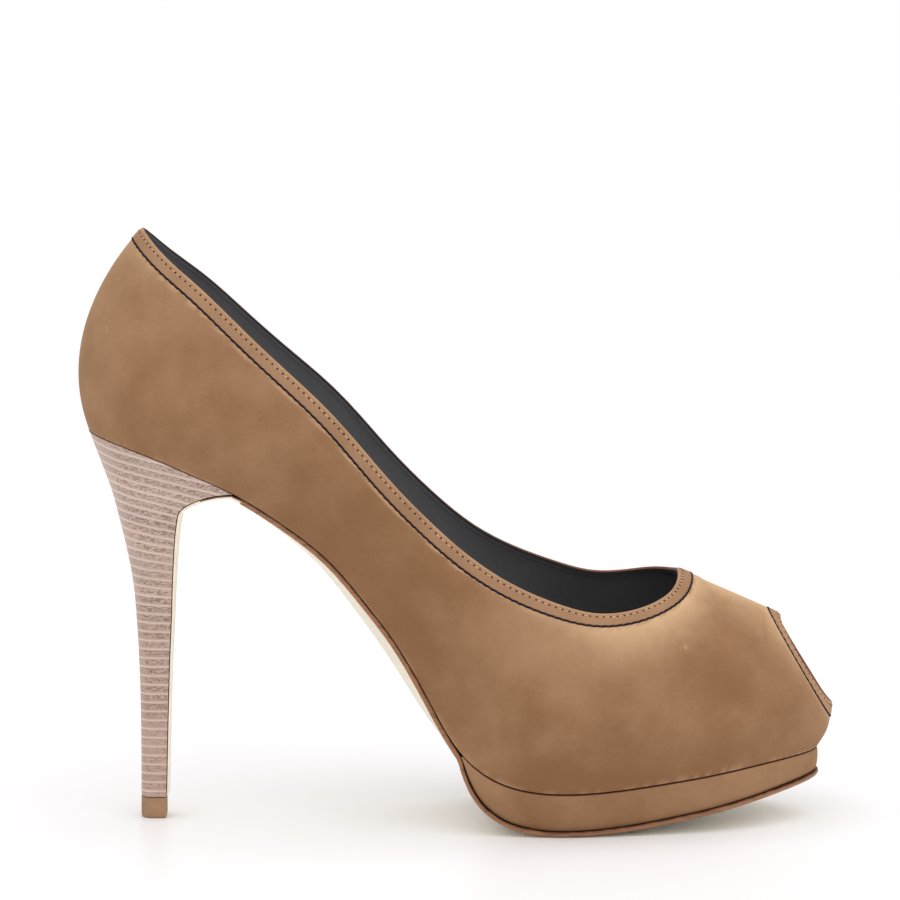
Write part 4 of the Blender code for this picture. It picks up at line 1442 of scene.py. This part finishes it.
class PUMP_OT_heel(bpy.types.Operator):
    """Build the stacked leather heel"""

    bl_idname = "pump.heel"
    bl_label = "Heel"

    def execute(self, context):
        colours = leathers()
        sections = [heel_halves(level) for level in spread(0.0, 110, float(HEEL_TOP_LEVEL))]
        forward = np.linspace(0, 1, SEAT_STEPS + 1)[None, :]
        patches = block_patches(sections, 10, forward, 0.8)
        stack = (colours.stack, colours.stack_grain, colours.stack_line, details().heel_lift)
        finishes = [stacked_leather("stacked_leather", *stack)]
        put("stacked_heel", patches, finishes, "stacked_leather", "heel", sharp=35)
        return {"FINISHED"}


class PUMP_OT_top_lift(bpy.types.Operator):
    """Build the rubber wear piece under the heel"""

    bl_idname = "pump.top_lift"
    bl_label = "Top lift"

    def execute(self, context):
        tip = heel_halves(0.0)
        stops = (
            (TOP_LIFT_HEIGHT, 0.97),
            (TOP_LIFT_HEIGHT - LIFT_ROLL / 2, 1.0),
            (TOP_LIFT_HEIGHT / 2, 1.012),
            (LIFT_ROLL, 1.0),
            (0.0, 0.95),
        )
        sections = [
            {side: tip[side] * (grow, grow, 0.0) + (0.0, 0.0, height) for side in SIDES}
            for height, grow in stops
        ]
        patches = block_patches(sections, 6, 0.0, 0.0)
        finishes = [lift_rubber("lift_rubber", leathers().lift)]
        put("heel_lift", patches, finishes, "lift_rubber", "top_lift", sharp=40)
        return {"FINISHED"}


# The sole's edge: the corners of its section as shares of its height, how far its middle
# swells, where the dark line along it starts, and where all of it is dyed. Then where its
# two finishes stand in their list.
EDGE_SHARES = (0.0, 0.45, 0.8)
EDGE_BELLY = 0.0001
EDGE_DYE_START = 0.0147
EDGE_DYE_FULL = 0.0260
PLAIN, DYED = range(2)


def sole_row(rib, steps):
    """The outsole's top, edge and underside at a rib."""
    along = along_of(rib)
    reach = min(PLATFORM_AT(along) / PLATFORM_AT(PLATFORM_START), 1.0)
    depth = platform_depth(along) + GAP * reach
    inset = max(platform_inset(along) - OUTSOLE_MARGIN, 0.0)
    top = slab_row(rib, inset, depth, 0.0, steps)
    crown = CROWN_AT(along) * BOTTOM_CROWN * round_end(SOLE_LENGTH * (1 - along), TOE_ROUND)
    low = slab_row(rib, inset + EDGE_ROUNDING, depth + OUTSOLE_EDGE, crown, steps)
    low[:, 2] = np.maximum(low[:, 2], 0.0)
    insets = (inset, inset - EDGE_BELLY, inset + EDGE_ROUNDING * 0.3)
    stops = [(place, depth + OUTSOLE_EDGE * share) for place, share in zip(insets, EDGE_SHARES)]
    walls = {}
    for side in SIDES:
        walls[side] = np.concatenate([wall_rows(rib, side, stops), low[ROW_END[side]][None, :]])
        walls[side][:, 2] = np.maximum(walls[side][:, 2], 0.0)
    return top, walls, low


def flap_row(level, steps):
    """The sole leather's thin flap at a level of the heel's front."""
    below, here, above = (heel_halves(level + step) for step in (-0.02, 0, 0.02))
    left, right = here[-1][-1], here[1][-1]
    rise = unit((above[1][-1] - below[1][-1]) * np.array([1, 0, 1]))
    out = np.array([rise[2], 0, -rise[0]])
    top = straight(left + out * GAP, right + out * GAP, steps)
    share = level / HEEL_TOP_LEVEL
    low = top + out * (FLAP_FOOT_THICKNESS + (FLAP_THICKNESS - FLAP_FOOT_THICKNESS) * share)
    walls = {}
    for side, end in ROW_END.items():
        walls[side] = np.array([top[end] + (low[end] - top[end]) * s for s in (*EDGE_SHARES, 1)])
    return top, walls, low


class PUMP_OT_sole(bpy.types.Operator):
    """Build the leather sole, from the toe to the foot of the heel's front"""

    bl_idname = "pump.sole"
    bl_label = "Sole"

    def execute(self, context):
        colours, steps = leathers(), 20
        rows = [flap_row(level, steps) for level in spread(0.02, 60, HEEL_TOP_LEVEL - 0.6)]
        rows += [sole_row(rib, steps) for rib in spread(TONGUE_RIB + 0.01, 90, 0.66, 60, 1.0)]
        top, low = [row[0] for row in rows], [row[2] for row in rows]
        dyed, full = (
            next(place for place, row in enumerate(top) if row[0, 0] > limit)
            for limit in (EDGE_DYE_START, EDGE_DYE_FULL)
        )
        patches = [(top[: dyed + 1], PLAIN, 0.0), (top[dyed:], DYED, 0.6), (low, PLAIN, 0.0)]
        for side in SIDES:
            edge = np.array([row[1][side] for row in rows])
            patches += [
                (edge[: dyed + 1], PLAIN, 0.0),
                (edge[dyed : full + 1, :2], DYED, 1.0),
                (edge[dyed : full + 1, 1:], PLAIN, 0.0),
                (edge[full:], DYED, np.array([[1.0, 0.0, 0.0, 0.7]])),
            ]
        patches += [(np.stack([top[end], low[end]]), PLAIN, 0.0) for end in (0, -1)]
        finishes = [
            sole_bottom("sole_leather", colours.sole),
            dyed_edge("sole_edge", colours.sole_edge, colours.sole_line),
        ]
        put("leather_sole", patches, finishes, "sole_leather", "outsole")
        return {"FINISHED"}


# The studio, in metres, and the camera's lens and sensor in millimetres
FLOOR_REACH = 30.0
FLOOR_SINK = 0.0002
LIT_PLACE = (0.089, 0.0, 0.09)
SEEN_PLACE = (0.089, 0.0, 0.1107)
LENS = 214.4
SENSOR = 36.0


def aim(made, place, target):
    """Put a lamp or the camera in its place, turned to a point."""
    made.location = place
    made.rotation_euler = (target - place).to_track_quat("-Z", "Y").to_euler()


def studio_light(name, kind, place, power, width):
    """A wide soft lamp: a square one this wide, or an even one from this wide an angle."""
    lamp = bpy.data.lights.new(name, kind)
    if kind == "AREA":
        lamp.size = width
    else:
        lamp.angle = width
    lamp.energy = power
    aim(new_object(name, lamp), Vector(place), Vector(LIT_PLACE))


class PUMP_OT_stage(bpy.types.Operator):
    """Set the plain floor, the soft light and the camera"""

    bl_idname = "pump.stage"
    bl_label = "Stage"

    def execute(self, context):
        stage = context.scene.pump_stage
        mesh, far = bpy.data.meshes.new("floor"), FLOOR_REACH
        corners = [(-far, -far, 0), (far, -far, 0), (far, far, 0), (-far, far, 0)]
        mesh.from_pydata(corners, [], [(0, 1, 2, 3)])
        colour = opaque(stage.floor)
        finish = Finish("floor", Base_Color=colour, Roughness=0.32, Specular_IOR_Level=0.12)
        mesh.materials.append(finish.material)
        floor = new_object("floor", mesh)
        floor.location.z = -FLOOR_SINK
        world = bpy.data.worlds.new("studio")
        world.use_nodes = True
        sky = world.node_tree.nodes["Background"]
        sky.inputs["Color"].default_value = (1, 1, 1, 1)
        sky.inputs["Strength"].default_value = stage.sky
        context.scene.world = world
        studio_light("key", "AREA", (0.5, -1.2, 1.2), stage.key, 1.2)
        studio_light("top", "SUN", (0.25, -0.25, 1.6), stage.top, math.radians(95))
        context.scene.view_settings.view_transform = "Standard"
        lens = bpy.data.cameras.new("camera")
        lens.lens, lens.sensor_width, lens.clip_end = LENS, SENSOR, 2 * FLOOR_REACH
        camera, target = new_object("camera", lens), Vector(SEEN_PLACE)
        away = Vector((0.0, -math.cos(stage.tilt), math.sin(stage.tilt)))
        aim(camera, target + away * stage.distance, target)
        context.scene.camera = camera
        return {"FINISHED"}


STEPS = (
    PUMP_OT_upper,
    PUMP_OT_bindings,
    PUMP_OT_cords,
    PUMP_OT_stitches,
    PUMP_OT_sock,
    PUMP_OT_platform,
    PUMP_OT_heel,
    PUMP_OT_top_lift,
    PUMP_OT_sole,
    PUMP_OT_stage,
)


class PUMP_PT_sidebar(bpy.types.Panel):
    """The shoe's pieces, colours and sizes"""

    bl_idname = "PUMP_PT_sidebar"
    bl_label = "Peep toe pump"
    bl_space_type = "VIEW_3D"
    bl_region_type = "UI"
    bl_category = "Pump"

    def draw(self, context):
        for step in STEPS:
            self.layout.operator(step.bl_idname)
        scene = context.scene
        for group in (scene.pump_leathers, scene.pump_details, scene.pump_stage):
            box = self.layout.box()
            for name in group.bl_rna.properties.keys():
                if name not in {"rna_type", "name"}:
                    box.prop(group, name)


GROUPS = {
    "pump_leathers": PumpLeathers,
    "pump_details": PumpDetails,
    "pump_stage": PumpStage,
}


def register():
    for made in (*GROUPS.values(), *STEPS, PUMP_PT_sidebar):
        bpy.utils.register_class(made)
    for name, group in GROUPS.items():
        setattr(bpy.types.Scene, name, PointerProperty(type=group))


def unregister():
    for name in GROUPS:
        delattr(bpy.types.Scene, name)
    for made in (PUMP_PT_sidebar, *STEPS[::-1], *GROUPS.values()):
        bpy.utils.unregister_class(made)


def main():
    """Build every piece and the stage."""
    register()
    for step in STEPS:
        group, name = step.bl_idname.split(".")
        getattr(getattr(bpy.ops, group), name)()


if __name__ == "__main__":
    main()
